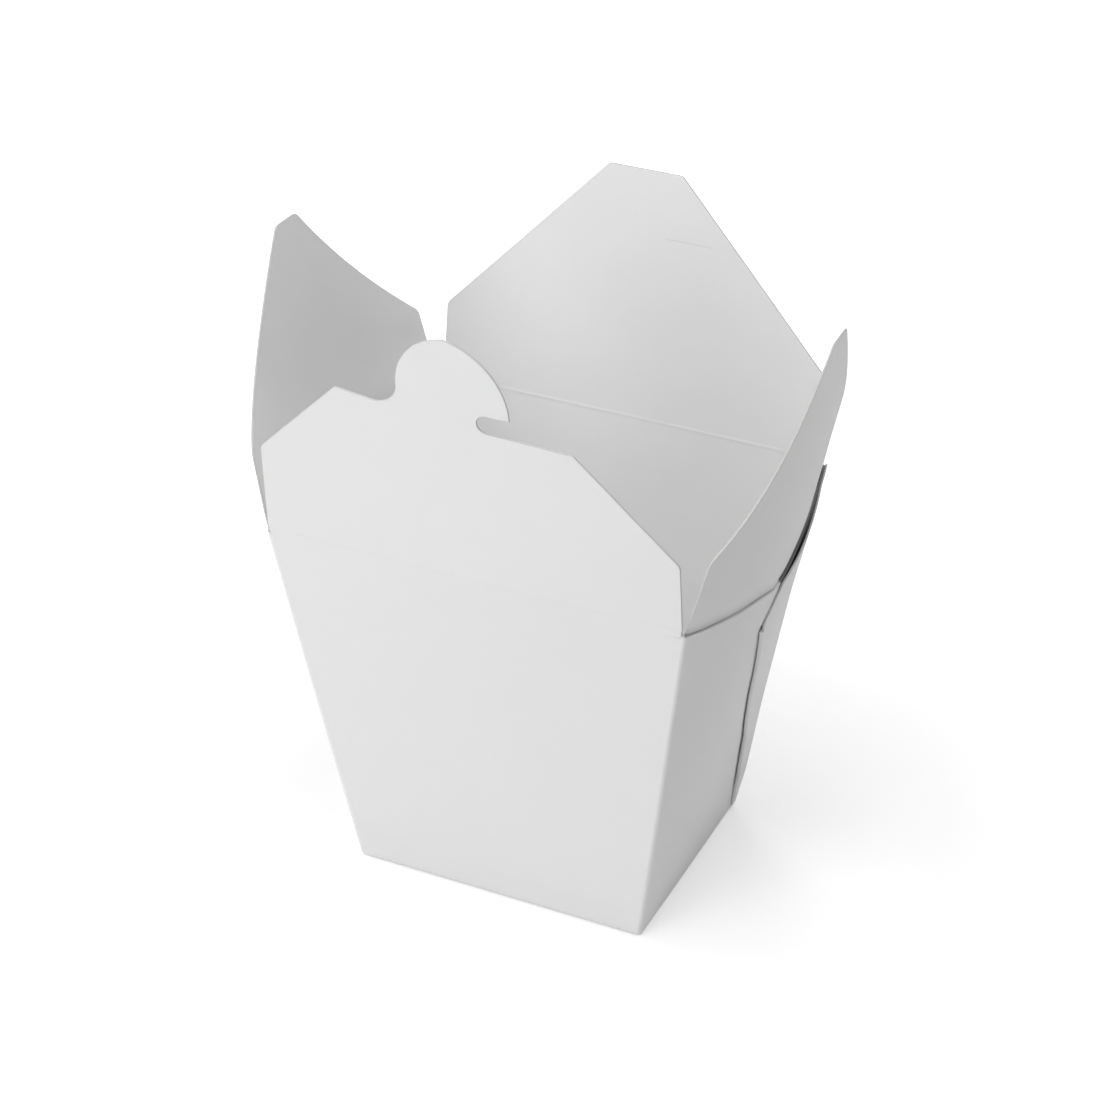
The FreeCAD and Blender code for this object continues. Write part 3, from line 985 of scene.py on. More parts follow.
@dataclass
class Walls(Piece):
    """The base, the four walls and the two side flaps: one sheet without a break."""

    pail: Pail
    flap: SideFlap
    pocket: Pocket = Pocket()
    face_cells: int = 26
    side_cells: int = 46
    corner_cells: int = 5
    corner_start: float = 0.03
    base_rows: tuple[float, ...] = (0.15, 0.4, 0.65, 0.85, 0.96)
    fold_cells: int = 6
    # How much lighter the fold round the base is painted, for rubbed coating and painted
    # highlight.
    fold_rub_and_highlight: float = 0.6
    wall_cells: int = 16
    crease_rows: tuple[float, ...] = (3.0, 2.2, 1.5, 1.0, 0.6, 0.3, 0.12, 0.0)
    corner_drop: float = 0.1
    # Painted shade on the rim of the rounded corners, and how far below their top it reaches.
    corner_tone: float = 0.3
    corner_tone_drop: float = 0.2
    bead: float = 0.3
    bead_width: float = 0.7
    bead_ends: float = 0.15
    probe: float = 1.0

    def stations(self) -> list[Station]:
        """The places round the walls.

        Returns:
            The places, seen from above against the clock.
        """
        faces = spread(-1, 1, self.face_cells)
        sides = spread(0, 1, self.side_cells)
        low, high = self.pail.side_span(self.pail.crease_height)
        for y in (self.pocket.start, self.pocket.full):
            place = self.pail.side_along(self.pail.crease_height, y)
            sides.append((place - low) / (high - low))
        sides.sort()
        corners = [self.corner_start, *spread(0, 1, self.corner_cells)[1:-1]]
        runs = (
            (Span.FACE, Side.RIGHT, Face.FRONT, faces),
            (Span.CORNER, Side.RIGHT, Face.FRONT, corners),
            (Span.SIDE, Side.RIGHT, Face.FRONT, sides),
            (Span.CORNER, Side.RIGHT, Face.BACK, corners[::-1]),
            (Span.FACE, Side.RIGHT, Face.BACK, faces[::-1]),
            (Span.CORNER, Side.LEFT, Face.BACK, corners),
            (Span.SIDE, Side.LEFT, Face.FRONT, sides[::-1]),
            (Span.CORNER, Side.LEFT, Face.FRONT, corners[::-1]),
        )
        return [Station(*run, share) for *run, shares in runs for share in shares]

    def place(self, station: Station, level: float) -> tuple[Vector, Vector]:
        """The outside of the walls at a station and level.

        Args:
            station: The place round the walls.
            level: The height above the base.

        Returns:
            The point and the level outward direction, both with x and y only.
        """
        pail, face, side = self.pail, station.face, station.side
        if station.span is Span.SIDE:
            low, high = pail.side_span(level)
            point, out = pail.side_point(level, low + (high - low) * station.share)
            return mirrored(point, side), mirrored(out, side)
        centre = pail.corner_centre(level, face)
        if station.span is Span.FACE:
            depth = abs(centre.y) + pail.fold + pail.bulge(face, station.share, pail.slant(level))
            return Vector((station.share * centre.x, face.value * depth)), Vector((0, face.value))
        _, out = pail.side_point(level, pail.side_end(level, face))
        first, last = face.value * math.pi / 2, math.atan2(out.y, out.x)
        angle = first + (last - first) * station.share
        way = Vector((math.cos(angle), math.sin(angle)))
        return mirrored(centre + way * pail.fold, side), mirrored(way, side)

    def full_place(self, station: Station, level: float) -> tuple[Vector, Vector]:
        """The outside of the walls at a station and level, with the walls' slope.

        Args:
            station: The place round the walls.
            level: The height above the base.

        Returns:
            The point and the outward normal.
        """
        point, out = self.place(station, level)
        below, _ = self.place(station, level - self.probe)
        slope = math.atan((point - below).dot(out) / self.probe)
        normal = Vector((out.x * math.cos(slope), out.y * math.cos(slope), -math.sin(slope)))
        return raised(point, level), normal

    def top_level(self, station: Station) -> float:
        """Where the wall ends.

        Args:
            station: The place round the walls.

        Returns:
            The height above the base.
        """
        pail, level = self.pail, self.pail.crease_height
        if station.span is Span.FACE:
            return pail.foot_level(station.face)
        if station.span is Span.CORNER:
            drop = pail.front_drop * station.share if station.face is Face.FRONT else 0.0
            return level - self.corner_drop - drop
        low, high = pail.side_span(level)
        return pail.crease_level(low + (high - low) * station.share)

    def wall_bead(self, station: Station, drop: float) -> float:
        """How far the inside stands in below the crease of a side wall.

        Args:
            station: The place round the walls.
            drop: The distance below the wall's top.

        Returns:
            The distance.
        """
        if station.span is not Span.SIDE:
            return 0.0
        near = min(station.share, 1 - station.share)
        return self.bead * hump(drop, self.bead_width) * blend_step(0.0, self.bead_ends, near)

    def wall_tone(self, station: Station, drop: float, y: float) -> float:
        """How much painted shade the outside takes just below the walls' top: in the web's pocket
        on the sides, and on the corners' rim.

        Args:
            station: The place round the walls.
            drop: The distance below the wall's top.
            y: The place along the pail.

        Returns:
            The painted shade, from 0 to 1.
        """
        if station.span is Span.SIDE:
            return self.pocket.tone(y)
        at_rim = station.span is Span.CORNER and drop < self.corner_tone_drop
        return self.corner_tone if at_rim else 0.0

    def flat_points(self, ring: list[Station], centres: list[Vector]) -> list[Vector]:
        """The edge of the flat base: each corner of it is one point.

        Args:
            ring: The places round the walls.
            centres: The middles of the fold round the base at those places.

        Returns:
            The places with the corners drawn together.
        """
        ends = {
            (station.face, round(station.share)): centre
            for station, centre in zip(ring, centres)
            if station.span is Span.FACE and abs(station.share) == 1
        }
        found = []
        for station, centre in zip(ring, centres):
            face = station.face
            if station.span is Span.SIDE:
                face = Face.BACK if station.share > 0.5 else Face.FRONT
            at_end = station.span is Span.SIDE and station.share in (0.0, 1.0)
            drawn = station.span is Span.CORNER or at_end
            found.append(ends[(face, station.side.value)] if drawn else centre)
        return found

    def add_base(self, net: Net, ring: list[Station]) -> tuple[list[int], list[float]]:
        """Adds the base and the fold round it.

        Args:
            net: The net that they go into.
            ring: The places round the walls.

        Returns:
            The points of the fold's top row and their heights.
        """
        pail = self.pail
        low = pail.fold * (1 - math.sin(pail.face_lean()))
        folds, tops = [], []
        for station in ring:
            _, normal = self.full_place(station, low + self.probe)
            _, out = self.place(station, low)
            slope = math.asin(-normal.z)
            level = pail.fold * (1 - math.sin(slope))
            edge, _ = self.place(station, level)
            centre = edge - out * pail.fold * math.cos(slope)
            folds.append((raised(centre, pail.fold), out, slope))
            tops.append(level)
        flat = self.flat_points(ring, [centre for centre, _, _ in folds])
        rows = []
        for scale in self.base_rows:
            points = [Vector((spot.x * scale, spot.y * scale, 0)) for spot in flat]
            rows.append([net.add(point, raised(point, pail.board)) for point in points])
        for turn in spread(0, 1, self.fold_cells):
            row = []
            for spot, (centre, out, slope) in zip(flat, folds):
                angle = turn * (math.pi / 2 - slope)
                sideways, down = math.sin(angle), math.cos(angle)
                way = Vector((out.x * sideways, out.y * sideways, -down))
                outer = spot.lerp(centre, turn) + way * pail.fold
                # The fold is painted lighter as it turns up: partly rubbed coating, partly
                # painted highlight.
                row.append(net.add(outer, outer - way * pail.board, self.fold_rub_and_highlight * sideways))
            rows.append(row)
        net.add_grid(rows, closed=True)
        middle = net.add(Vector((0, 0, 0)), Vector((0, 0, pail.board)))
        for i, here in enumerate(rows[0]):
            net.faces.append((middle, rows[0][(i + 1) % len(rows[0])], here))
        return rows[-1], tops

    def add_walls(
        self, net: Net, ring: list[Station], foot: list[int], lows: list[float]
    ) -> list[int]:
        """Adds the four walls above the fold.

        Args:
            net: The net that they go into.
            ring: The places round the walls.
            foot: The points of the fold's top row.
            lows: The heights of those points.

        Returns:
            The points of the walls' top row.
        """
        rows = [foot]
        shares = spread(0, 1, self.wall_cells)[1:-1]
        steps = [(share, self.crease_rows[0]) for share in shares]
        steps += [(1.0, drop) for drop in self.crease_rows]
        for share, drop in steps:
            row = []
            for station, low in zip(ring, lows):
                level = low + (self.top_level(station) - drop - low) * share
                point, normal = self.full_place(station, level)
                depth, tone = self.pail.board, 0.0
                if share == 1.0:
                    depth += self.wall_bead(station, drop)
                    # The top of the walls takes painted shade.
                    tone = self.wall_tone(station, drop, point.y)
                # The rounded corners are painted lighter: partly rubbed coating, partly painted
                # highlight.
                rub = 1.0 if station.span is Span.CORNER else 0.0
                row.append(net.add(point, point - normal * depth, rub, (tone, 0.0)))
            rows.append(row)
        net.add_grid(rows, closed=True)
        square = [i for i, station in zip(rows[-1], ring) if station.span is not Span.SIDE]
        net.square_rim.update(square)
        return rows[-1]

    def name(self) -> str:
        """The piece's name."""
        return "carton_sheet"

    def net(self) -> Net:
        """The sheet's net.

        Returns:
            The net of the base, the walls and the side flaps.
        """
        net = Net()
        ring = self.stations()
        foot, lows = self.add_base(net, ring)
        top_row = self.add_walls(net, ring, foot, lows)
        sides = [station.side if station.span is Span.SIDE else None for station in ring]
        for side in Side:
            self.flap.add(net, side, [i for i, own in zip(top_row, sides) if own is side])
        return net

    def attach(self, piece: bpy.types.Object) -> bpy.types.Object:
        """Lets the sheet ride on the carton in place of its CAD solid."""
        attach(piece, "carton")
        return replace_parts(piece, "folded_carton")


# ---------------------------------------------------------------- the hinged flaps


@dataclass
class Flap(Piece):
    """A hinged flap of flat board that stands on the crease of a face, in millimetres.

    Places on it are x, across from its left to its right, and y, up from its hinge line. Its
    shoulders are where its upright sides turn in, and its corners are where its top begins.
    """

    pail: Pail
    cells: int
    face: Face
    body: str
    node: str
    left: float
    right: float
    shoulder_left: float
    shoulder_right: float
    corner_left: tuple[float, float]
    corner_right: tuple[float, float]
    corner_radius: float
    shoulder_inset: float = 0.0
    chamfer: float = 0.2
    chamfer_height: float = 2.0
    shoulder_radius: float = 2.5
    rows: tuple[float, ...] = (1.9, 3.2, 4.8, 6.4)
    grid: float = 2.2
    ring_depth: float = 0.7
    edge_margin: float = 1.45
    slit_margin: float = 0.6
    same_height: float = 1e-6
    same_place: float = 1e-3

    def base_ends(self, rise: float) -> tuple[float, float]:
        """The flap's ends across the pail, at a small height above its crease."""
        cut = self.chamfer * (1 - rise / self.chamfer_height)
        return self.left + cut, self.right - cut

    def base_points(self) -> list[Vector]:
        """The flap's lower edge from left to right."""
        rise = self.pail.crease_half
        return [Vector((x, rise)) for x in spread(*self.base_ends(rise), self.cells)]

    def draw(self, outline: Outline) -> None:
        """Draws the outline from its lower right corner to its lower left one.

        Args:
            outline: The outline so far.
        """
        right_low, left_low = [Vector((x, self.chamfer_height)) for x in (self.right, self.left)]
        right_shoulder = Vector((self.right, self.shoulder_right))
        left_shoulder = Vector((self.left + self.shoulder_inset, self.shoulder_left))
        right_corner, left_corner = Vector(self.corner_right), Vector(self.corner_left)
        right_root, left_root = self.roots()
        outline.line(right_low)
        outline.corner(right_shoulder, right_corner, self.shoulder_radius)
        outline.corner(right_corner, right_root, self.corner_radius)
        self.draw_tab(outline, right_root, left_root)
        outline.corner(left_corner, left_shoulder, self.corner_radius)
        outline.corner(left_shoulder, left_low, self.shoulder_radius)
        outline.line(left_low)

    def roots(self) -> tuple[Vector, Vector]:
        """The points next to the top's right and left corners: each other, if no tab is there."""
        return Vector(self.corner_left), Vector(self.corner_right)

    def draw_tab(self, outline: Outline, right_root: Vector, left_root: Vector) -> None:
        """Draws what stands on the top between its roots: nothing, unless there is a tab."""

    def slit(self) -> list[Vector]:
        """The outline of the flap's slit, or an empty list."""
        return []

    def curl(self, x: float, y: float) -> float:
        """How far the flap stands out of its plane by its own curl."""
        return 0.0

    def relief(self, x: float, y: float) -> float:
        """How far the flap stands out of its plane.

        Args:
            x: The place across it.
            y: The place up it.

        Returns:
            The distance.
        """
        middle, half = (self.left + self.right) / 2, (self.right - self.left) / 2
        share = min(1.0, abs(x - middle) / half)
        return self.pail.bulge(self.face, share, y) + self.curl(x, y)

    def net(self) -> Net:
        """The flap's net.

        Returns:
            The net, with square edges at the crease and round the slit.
        """
        base = self.base_points()
        outline = Outline(points=[base[-1]])
        self.draw(outline)
        outline.line(base[0])
        boundary = base + outline.points[1:-1]
        hole = self.slit()
        top, first = max(point.y for point in boundary), self.rows[-1]
        rows = [*self.rows[:-1], *spread(first, top, round((top - first) / self.grid))]
        inside = inner_ring(boundary, self.ring_depth)
        for y in rows:
            left, right = self.base_ends(min(y, self.chamfer_height))
            for x in spread(left, right, self.cells * 2):
                point = Vector((x, y))
                near = any((point - edge).length < self.slit_margin for edge in hole)
                if not near and is_clear(point, boundary, self.edge_margin):
                    inside.append(point)
        points, cells, _ = fill_outline(boundary, inside, hole)
        origin, across, up, out = self.pail.crease_axis(self.face)
        net = Net()
        for point in points:
            middle = origin + across * point.x + up * point.y + out * self.relief(*point)
            half = out * self.pail.board / 2
            index = net.add(middle + half, middle - half)
            at_slit = any((point - edge).length < self.same_place for edge in hole)
            if at_slit or abs(point.y - self.pail.crease_half) < self.same_height:
                net.square_rim.add(index)
        net.faces = list(cells)
        return net

    def name(self) -> str:
        """The piece's name."""
        return f"{self.node}_board"

    def attach(self, piece: bpy.types.Object) -> bpy.types.Object:
        """Lets the flap ride on its own body in place of its CAD solid."""
        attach(piece, self.body)
        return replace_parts(piece, self.node)


@dataclass
class FrontFlap(Flap):
    """The front flap with its one-sided hook tab."""

    face: Face = Face.FRONT
    body: str = "front"
    node: str = "front_flap"
    left: float = -47.5
    right: float = 47.5
    shoulder_left: float = 22.3
    shoulder_right: float = 17.2
    shoulder_inset: float = 0.9
    corner_left: tuple[float, float] = (-27.0, 42.1)
    corner_right: tuple[float, float] = (25.5, 38.5)
    corner_radius: float = 1.0
    edge_drop: float = 1.1
    edge_rise: float = 0.5
    tab_left: float = -12.8
    tab_height: float = 59.3
    tab_middle: float = -1.5
    tab_bulge: float = 3.2
    neck_radius: float = 5.3
    hook_tip: float = 12.0
    hook_bulge: float = 3.9
    slot_radius: float = 2.1
    slot_depth: float = 7.3

    def roots(self) -> tuple[Vector, Vector]:
        """Where the top meets the tab.

        Returns:
            The root of its slot on the right, and of its neck on the left.
        """
        slot_end = self.hook_tip - self.slot_depth + self.slot_radius
        right_root = Vector((slot_end, self.corner_right[1] + self.edge_rise))
        neck_end = self.tab_left - self.neck_radius
        return right_root, Vector((neck_end, self.corner_left[1] - self.edge_drop))

    def draw_tab(self, outline: Outline, right_root: Vector, left_root: Vector) -> None:
        """Draws the tab from its slot on the right round to its neck on the left.

        Args:
            outline: The outline so far.
            right_root: Where the flap's edge meets the slot.
            left_root: Where the neck meets the flap's edge.
        """
        slot_middle = right_root + Vector((-self.slot_radius, self.slot_radius))
        slot_top = right_root + Vector((0, 2 * self.slot_radius))
        hook = Vector((self.hook_tip, slot_top.y))
        top = Vector((self.tab_middle, self.tab_height))
        neck = left_root + Vector((self.neck_radius, self.neck_radius))
        reach = self.neck_radius * math.sqrt(0.5)
        hollow = left_root + Vector((reach, self.neck_radius - reach))
        outline.line(right_root)
        spacing = outline.spacing
        outline.spacing = spacing / 2
        outline.arc(slot_middle, slot_top)
        outline.line(hook)
        outline.bulge(top, -self.hook_bulge)
        outline.bulge(neck, -self.tab_bulge)
        outline.arc(hollow, left_root)
        outline.spacing = spacing


@dataclass
class BackFlap(Flap):
    """The back flap with the slit that takes the hook."""

    face: Face = Face.BACK
    body: str = "back"
    node: str = "back_flap"
    left: float = -47.7
    right: float = 45.9
    shoulder_left: float = 17.9
    shoulder_right: float = 17.9
    corner_left: tuple[float, float] = (-9.2, 58.0)
    corner_right: tuple[float, float] = (8.2, 58.0)
    corner_radius: float = 1.5
    slit_left: float = -17.7
    slit_right: float = -6.3
    slit_height: float = 43.1
    slit_width: float = 0.04
    slit_cells: int = 14
    belly: float = 0.5
    belly_fade: float = 30.0

    def slit(self) -> list[Vector]:
        """The outline of the slit.

        Returns:
            Its points, against the clock.
        """
        low, high = self.slit_height, self.slit_height + self.slit_width
        places = spread(self.slit_left, self.slit_right, self.slit_cells)
        under = [Vector((x, low)) for x in places]
        return under + [Vector((x, high)) for x in reversed(places)]

    def curl(self, x: float, y: float) -> float:
        """A shallow belly that fades at the crease."""
        return self.belly * blend_step(0, self.belly_fade, y) * (1 - (x / self.right) ** 2)


@dataclass
class CreaseStrip(Piece):
    """The narrow strip of board along a flap's crease, between the wall and the flap."""

    flap: Flap
    groove: float
    bead: float
    groove_width: float = 0.22
    bead_width: float = 0.3
    rows: int = 12

    def ends(self, rise: float) -> tuple[float, float]:
        """The strip's ends across the pail.

        Args:
            rise: The distance above the hinge line.

        Returns:
            The left and the right end.
        """
        if rise >= 0:
            return self.flap.base_ends(rise)
        pail, face = self.flap.pail, self.flap.face
        wall = pail.corner_centre(pail.foot_level(face), face).x
        left, right = self.flap.base_ends(0.0)
        share = (rise + pail.crease_half) / pail.crease_half
        return -wall + (left + wall) * share, wall + (right - wall) * share

    def name(self) -> str:
        """The piece's name."""
        return f"{self.flap.body}_crease"

    def net(self) -> Net:
        """The strip's net.

        Returns:
            The net, with square edges where it meets the wall and the flap.
        """
        pail, face, cells = self.flap.pail, self.flap.face, self.flap.cells
        origin, across, up, out = pail.crease_axis(face)
        half, middle = pail.crease_half, pail.board / 2
        net = Net()
        rows = []
        for rise in spread(-half, half, self.rows):
            outer = middle - self.groove * hump(rise, self.groove_width)
            inner = middle + self.bead * hump(rise, self.bead_width)
            row = []
            for share, x in zip(spread(-1, 1, cells), spread(*self.ends(rise), cells)):
                point = origin + across * x + up * rise
                point += out * pail.bulge(face, share, rise)
                row.append(net.add(point + out * outer, point - out * inner))
            rows.append(row)
        net.add_grid(rows)
        net.square_rim.update(rows[0] + rows[-1])
        return net

    def attach(self, piece: bpy.types.Object) -> bpy.types.Object:
        """Bakes the strip's place into its points; it rides on no body.

        Args:
            piece: The built strip.

        Returns:
            The same piece.
        """
        origin, _, up, _ = self.flap.pail.crease_axis(self.flap.face)
        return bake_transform(piece)


# ---------------------------------------------------------------- the folded webs


@dataclass
class Web(Piece):
    """A folded web: from the back wall round the corner, forward, and back under itself.

    The fold line is given as heights and places along the pail. Shares run from the fold's
    tip at 0 to the crease at 1, and reach is the distance behind the fold or the free edge.
    """

    pail: Pail
    side: Side
    pocket: Pocket = Pocket()
    fold_line: tuple[tuple[float, float], ...] = (
        (0.0, 25.2),
        (16.0, 21.4),
        (27.4, 18.0),
        (38.9, 10.0),
        (49.8, 2.6),
        (62.2, -3.5),
        (75.9, -10.6),
    )
    foot: float = 1.5
    foot_lift: float = 0.3
    grown_level: float = 12.0
    slack: float = 0.04
    lift: float = 0.02
    lift_low: float = 0.14
    lift_level: float = 32.0
    lift_levels: float = 22.0
    lift_reach: float = 3.0
    flare: float = 0.05
    flare_reach: float = 22.0
    flare_power: float = 1.5
    tip_flare: float = 0.05
    tip_flare_reach: float = 5.0
    tip_flare_power: float = 3.0
    settle: float = 0.55
    settle_share: float = 0.15
    settle_reach: float = 6.0
    top_gap: float = 0.35
    under_gap: float = 2.6
    under_gap_back: float = 1.0
    under_ease: float = 30.0
    under_inset: float = 9.0
    under_rate: float = 3.0
    least_lap: float = 0.004
    crowding: float = 1.6
    corner_gap: float = 1.05
    corner_proud: float = 0.03
    corner_tuck: float = 0.01
    run_in: float = 2.6
    run_sunk: tuple[float, float] = (0.06, 0.3)
    # Painted shade in the web's pocket: how much fades towards the back, the share kept just
    # above the fold's tip, and the share on the inside of the outer layer.
    pocket_dim: float = 0.7
    tip_height: float = 4.0
    tip_tone: float = 0.3
    inside_tone: float = 0.5
    low_rows: int = 34
    high_rows: int = 9
    run_cells: int = 2
    corner_cells: int = 5
    layer_cells: int = 18
    turn_cells: int = 6

    def fold_y(self, level: float) -> float:
        """Where the fold line lies.

        Args:
            level: The height above the base.

        Returns:
            The place along the pail.
        """
        for (low, y_low), (high, y_high) in zip(self.fold_line, self.fold_line[1:]):
            if level <= high:
                return y_low + (y_high - y_low) * (level - low) / (high - low)
        return self.fold_line[-1][1]

    def front_y(self, share: float) -> float:
        """Where the free front edge lies, from the fold's tip at 0 to the crease at 1."""
        start = self.fold_line[-1][1]
        return start + (self.pocket.full - start) * share

    def offsets(self, level: float, share: float, reach: float) -> tuple[float, float]:
        """How far the middles of the outer and inner layer stand off the wall.

        Args:
            level: The height above the base.
            share: The place between the fold's tip and the crease, 0 below the tip.
            reach: The distance behind the fold or the free edge.

        Returns:
            The two distances.
        """
        board = self.pail.board
        grown = self.foot_lift
        grown += (1 - self.foot_lift) * blend_step(self.foot, self.grown_level, level)
        spring = hump(reach, self.lift_reach) * grown
        low = self.lift_low * hump(level - self.lift_level, self.lift_levels)
        wall = self.slack + spring * (self.lift + low)
        inner = (wall + board / 2) * grown
        outer = inner + (board + self.slack) * grown
        outer += self.flare * share**self.flare_power * math.exp(-reach / self.flare_reach)
        settled = self.settle * blend_step(0.0, self.settle_share, share)
        outer -= settled * hump(reach, self.settle_reach)
        tip = self.tip_flare * share**self.tip_flare_power
        return outer + tip * hump(reach, self.tip_flare_reach), inner

    def place(self, level: float, along: float, off: float) -> tuple[Vector, Vector]:
        """A point at a distance off the right wall's outside, and the way out there."""
        point, out = self.pail.side_point(level, along)
        return raised(point + out * off, level), raised(out, 0)

    def top_of(self, along: float, under: bool, reach: float) -> float:
        """The height of a layer's top edge.

        Args:
            along: The place on the wall's curve.
            under: Whether it is the layer folded under.
            reach: The distance behind the free edge.

        Returns:
            The height above the base.
        """
        crease = self.pail.crease_level(along)
        if not under:
            return crease - self.top_gap
        ease = min(1.0, reach / self.under_ease)
        return crease - self.under_gap + (self.under_gap - self.under_gap_back) * ease

    def corner_run(self, level: float, off: float) -> list[tuple[Vector, Vector]]:
        """The run-in on the back wall and round the corner.

        Args:
            level: The height above the base.
            off: How far the web's middle stands off the wall past the corner.

        Returns:
            Points and ways out.
        """
        pail = self.pail
        centre = pail.corner_centre(level, Face.BACK)
        _, side_out = pail.side_point(level, pail.side_end(level, Face.BACK))
        flush = pail.fold - pail.board / 2 + self.corner_proud
        found = []
        for x in spread(centre.x - self.run_in, centre.x, self.run_cells):
            bulge = pail.bulge(Face.BACK, x / centre.x, pail.slant(level))
            found.append((Vector((x, centre.y + flush + bulge, level)), Vector((0, 1, 0))))
        last = math.atan2(side_out.y, side_out.x)
        shift = off + pail.board / 2 - self.corner_tuck
        for share in spread(0, 1, self.corner_cells):
            angle = math.pi / 2 + (last - math.pi / 2) * share
            way = Vector((math.cos(angle), math.sin(angle)))
            aside = Vector((1, 0)).lerp(side_out, share) * shift
            found.append((raised(centre + aside + way * flush, level), raised(way, 0)))
        return found

    def row(self, level: float, share: float) -> list[tuple[Vector, Vector]]:
        """One row of the web's middle surface, from the back wall to under the web.

        Args:
            level: The row's height below the fold's tip.
            share: The place between the fold's tip and the crease, 0 below the tip.

        Returns:
            Points and ways out.
        """
        pail = self.pail
        tip_level = self.fold_line[-1][0]
        edge_level = level + (pail.crease_height - tip_level) * share
        back = pail.side_end(edge_level, Face.BACK)
        front_y = self.front_y(share) if share > 0 else self.fold_y(level)
        start = min(pail.side_along(edge_level, front_y), back - self.least_lap)
        edge, _ = pail.side_point(edge_level, start)
        hide = min(share * self.under_rate, 1.0) * self.under_inset / pail.bottom_depth
        over, under = [], []
        off_over = 0.0
        for step in spread(0, 1, self.layer_cells):
            along = start + (back - start) * step**self.crowding
            point, _ = pail.side_point(edge_level, along)
            reach = (point - edge).length
            off_over, off_under = self.offsets(level, share, reach)
            high = level + (self.top_of(along, False, reach) - tip_level) * share
            low = level + (self.top_of(along, True, reach) - tip_level) * share
            over.append(self.place(high, along, off_over))
            under.append(self.place(low, along + hide * (1 - step), off_under))
        corner_level = level + (pail.crease_height - self.corner_gap - tip_level) * share
        found = self.corner_run(corner_level, off_over)[:-1] + over[::-1]
        top_point, out = over[0]
        low_point, _ = under[0]
        centre, radius = (top_point + low_point) / 2, (top_point - low_point).length / 2
        forward = Vector((out.y, -out.x, 0))
        for turn in spread(0, math.pi, self.turn_cells)[1:-1]:
            way = out * math.cos(turn) + forward * math.sin(turn)
            found.append((centre + way * radius, way))
        return found + [(point, -way) for point, way in under]

    def name(self) -> str:
        """The piece's name."""
        return f"web_{self.side.name.lower()}"

    def net(self) -> Net:
        """The web's net.

        Returns:
            The net, open at its front above the fold's tip.
        """
        tip = self.fold_line[-1][0]
        rows = [self.row(level, 0.0) for level in spread(self.foot, tip, self.low_rows)]
        rows += [self.row(tip, share) for share in spread(0, 1, self.high_rows)[1:]]
        half = self.pail.board / 2
        turn_first = self.run_cells + 1 + self.corner_cells + self.layer_cells
        turn_last = turn_first + self.turn_cells
        net = Net()
        grid = []
        for row in rows:
            line = []
            for column, (point, way) in enumerate(row):
                sunk, inner_sunk = self.run_sunk if column == 0 else (0.0, 2 * half)
                pair = point + way * (half - sunk), point + way * (half - inner_sunk)
                outer, inner = [mirrored(p, self.side) for p in pair]
                # The turn and the layer folded under take painted shade, as the web's pocket lies
                # in shade.
                pocket_shade = blend_step(turn_first + self.turn_cells / 2, turn_last, column)
                pocket_shade *= 1 - self.pocket_dim * blend_step(*self.pocket.end, point.y)
                if tip <= point.z < tip + self.tip_height:
                    pocket_shade *= self.tip_tone
                under_layer_shade = 1.0 if column >= turn_last else self.inside_tone
                line.append(net.add(outer, inner, 0.0, (pocket_shade, under_layer_shade)))
            grid.append(line)
        net.add_grid(grid[: self.low_rows + 1])
        net.add_grid([line[: turn_first + 1] for line in grid[self.low_rows :]])
        net.add_grid([line[turn_last:] for line in grid[self.low_rows :]])
        if self.side is Side.RIGHT:
            net.flip()
        return net

    def attach(self, piece: bpy.types.Object) -> bpy.types.Object:
        """Lets the web ride on the carton."""
        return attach(piece, "carton")


# ---------------------------------------------------------------- finishes


@dataclass
class Nodes:
    """Adds shader nodes to one tree, side by side."""

    tree: bpy.types.NodeTree
    column: int = 0
    step_across: int = 190
    step_down: int = 120

    def add(
        self, kind: str, given: dict[int | str, object] | None = None, **settings: object
    ) -> bpy.types.Node:
        """Adds a node.

        Args:
            kind: Blender's name of the node type.
            given: What goes into its inputs: a value, or the output to link.
            settings: Properties to set on the node.

        Returns:
            The new node.
        """
        node = self.tree.nodes.new(kind)
        node.location = (self.column * self.step_across, -self.step_down * (self.column % 3))
        self.column += 1
        for name, value in settings.items():
            setattr(node, name, value)
        for key, value in (given or {}).items():
            if isinstance(value, bpy.types.NodeSocket):
                self.tree.links.new(value, node.inputs[key])
            else:
                node.inputs[key].default_value = value
        return node


def new_group(name: str, inputs: dict[str, float], output: str) -> tuple[Nodes, Nodes, Nodes]:
    """Starts a shader node group with number inputs and one number output.

    Args:
        name: The group's name.
        inputs: Its inputs and their usual values.
        output: Its output.

    Returns:
        The tree's helper, its input node and its output node.
    """
    tree = bpy.data.node_groups.new(name, "ShaderNodeTree")
    for label, value in inputs.items():
        socket = tree.interface.new_socket(label, in_out="INPUT", socket_type="NodeSocketFloat")
        socket.default_value = value
    tree.interface.new_socket(output, in_out="OUTPUT", socket_type="NodeSocketFloat")
    nodes = Nodes(tree)
    return nodes, nodes.add("NodeGroupInput"), nodes.add("NodeGroupOutput")


def make_mottle_group() -> bpy.types.NodeTree:
    """A slow, cloudy unevenness around 1, as coated board shows.

    Returns:
        The group, with the inputs Scale and Amount and the output Value.
    """
    nodes, given, result = new_group("board_mottle", {"Scale": 60.0, "Amount": 0.02}, "Value")
    place = nodes.add("ShaderNodeTexCoord")
    sockets = {"Vector": place.outputs["Object"], "Scale": given.outputs["Scale"]}
    noise = nodes.add("ShaderNodeTexNoise", {**sockets, "Detail": 3.0, "Roughness": 0.55})
    terms = {0: noise.outputs["Fac"], 1: 0.5}
    centred = nodes.add("ShaderNodeMath", terms, operation="SUBTRACT")
    terms = {0: centred.outputs[0], 1: given.outputs["Amount"], 2: 1.0}
    scaled = nodes.add("ShaderNodeMath", terms, operation="MULTIPLY_ADD")
    nodes.tree.links.new(scaled.outputs[0], result.inputs["Value"])
    return nodes.tree


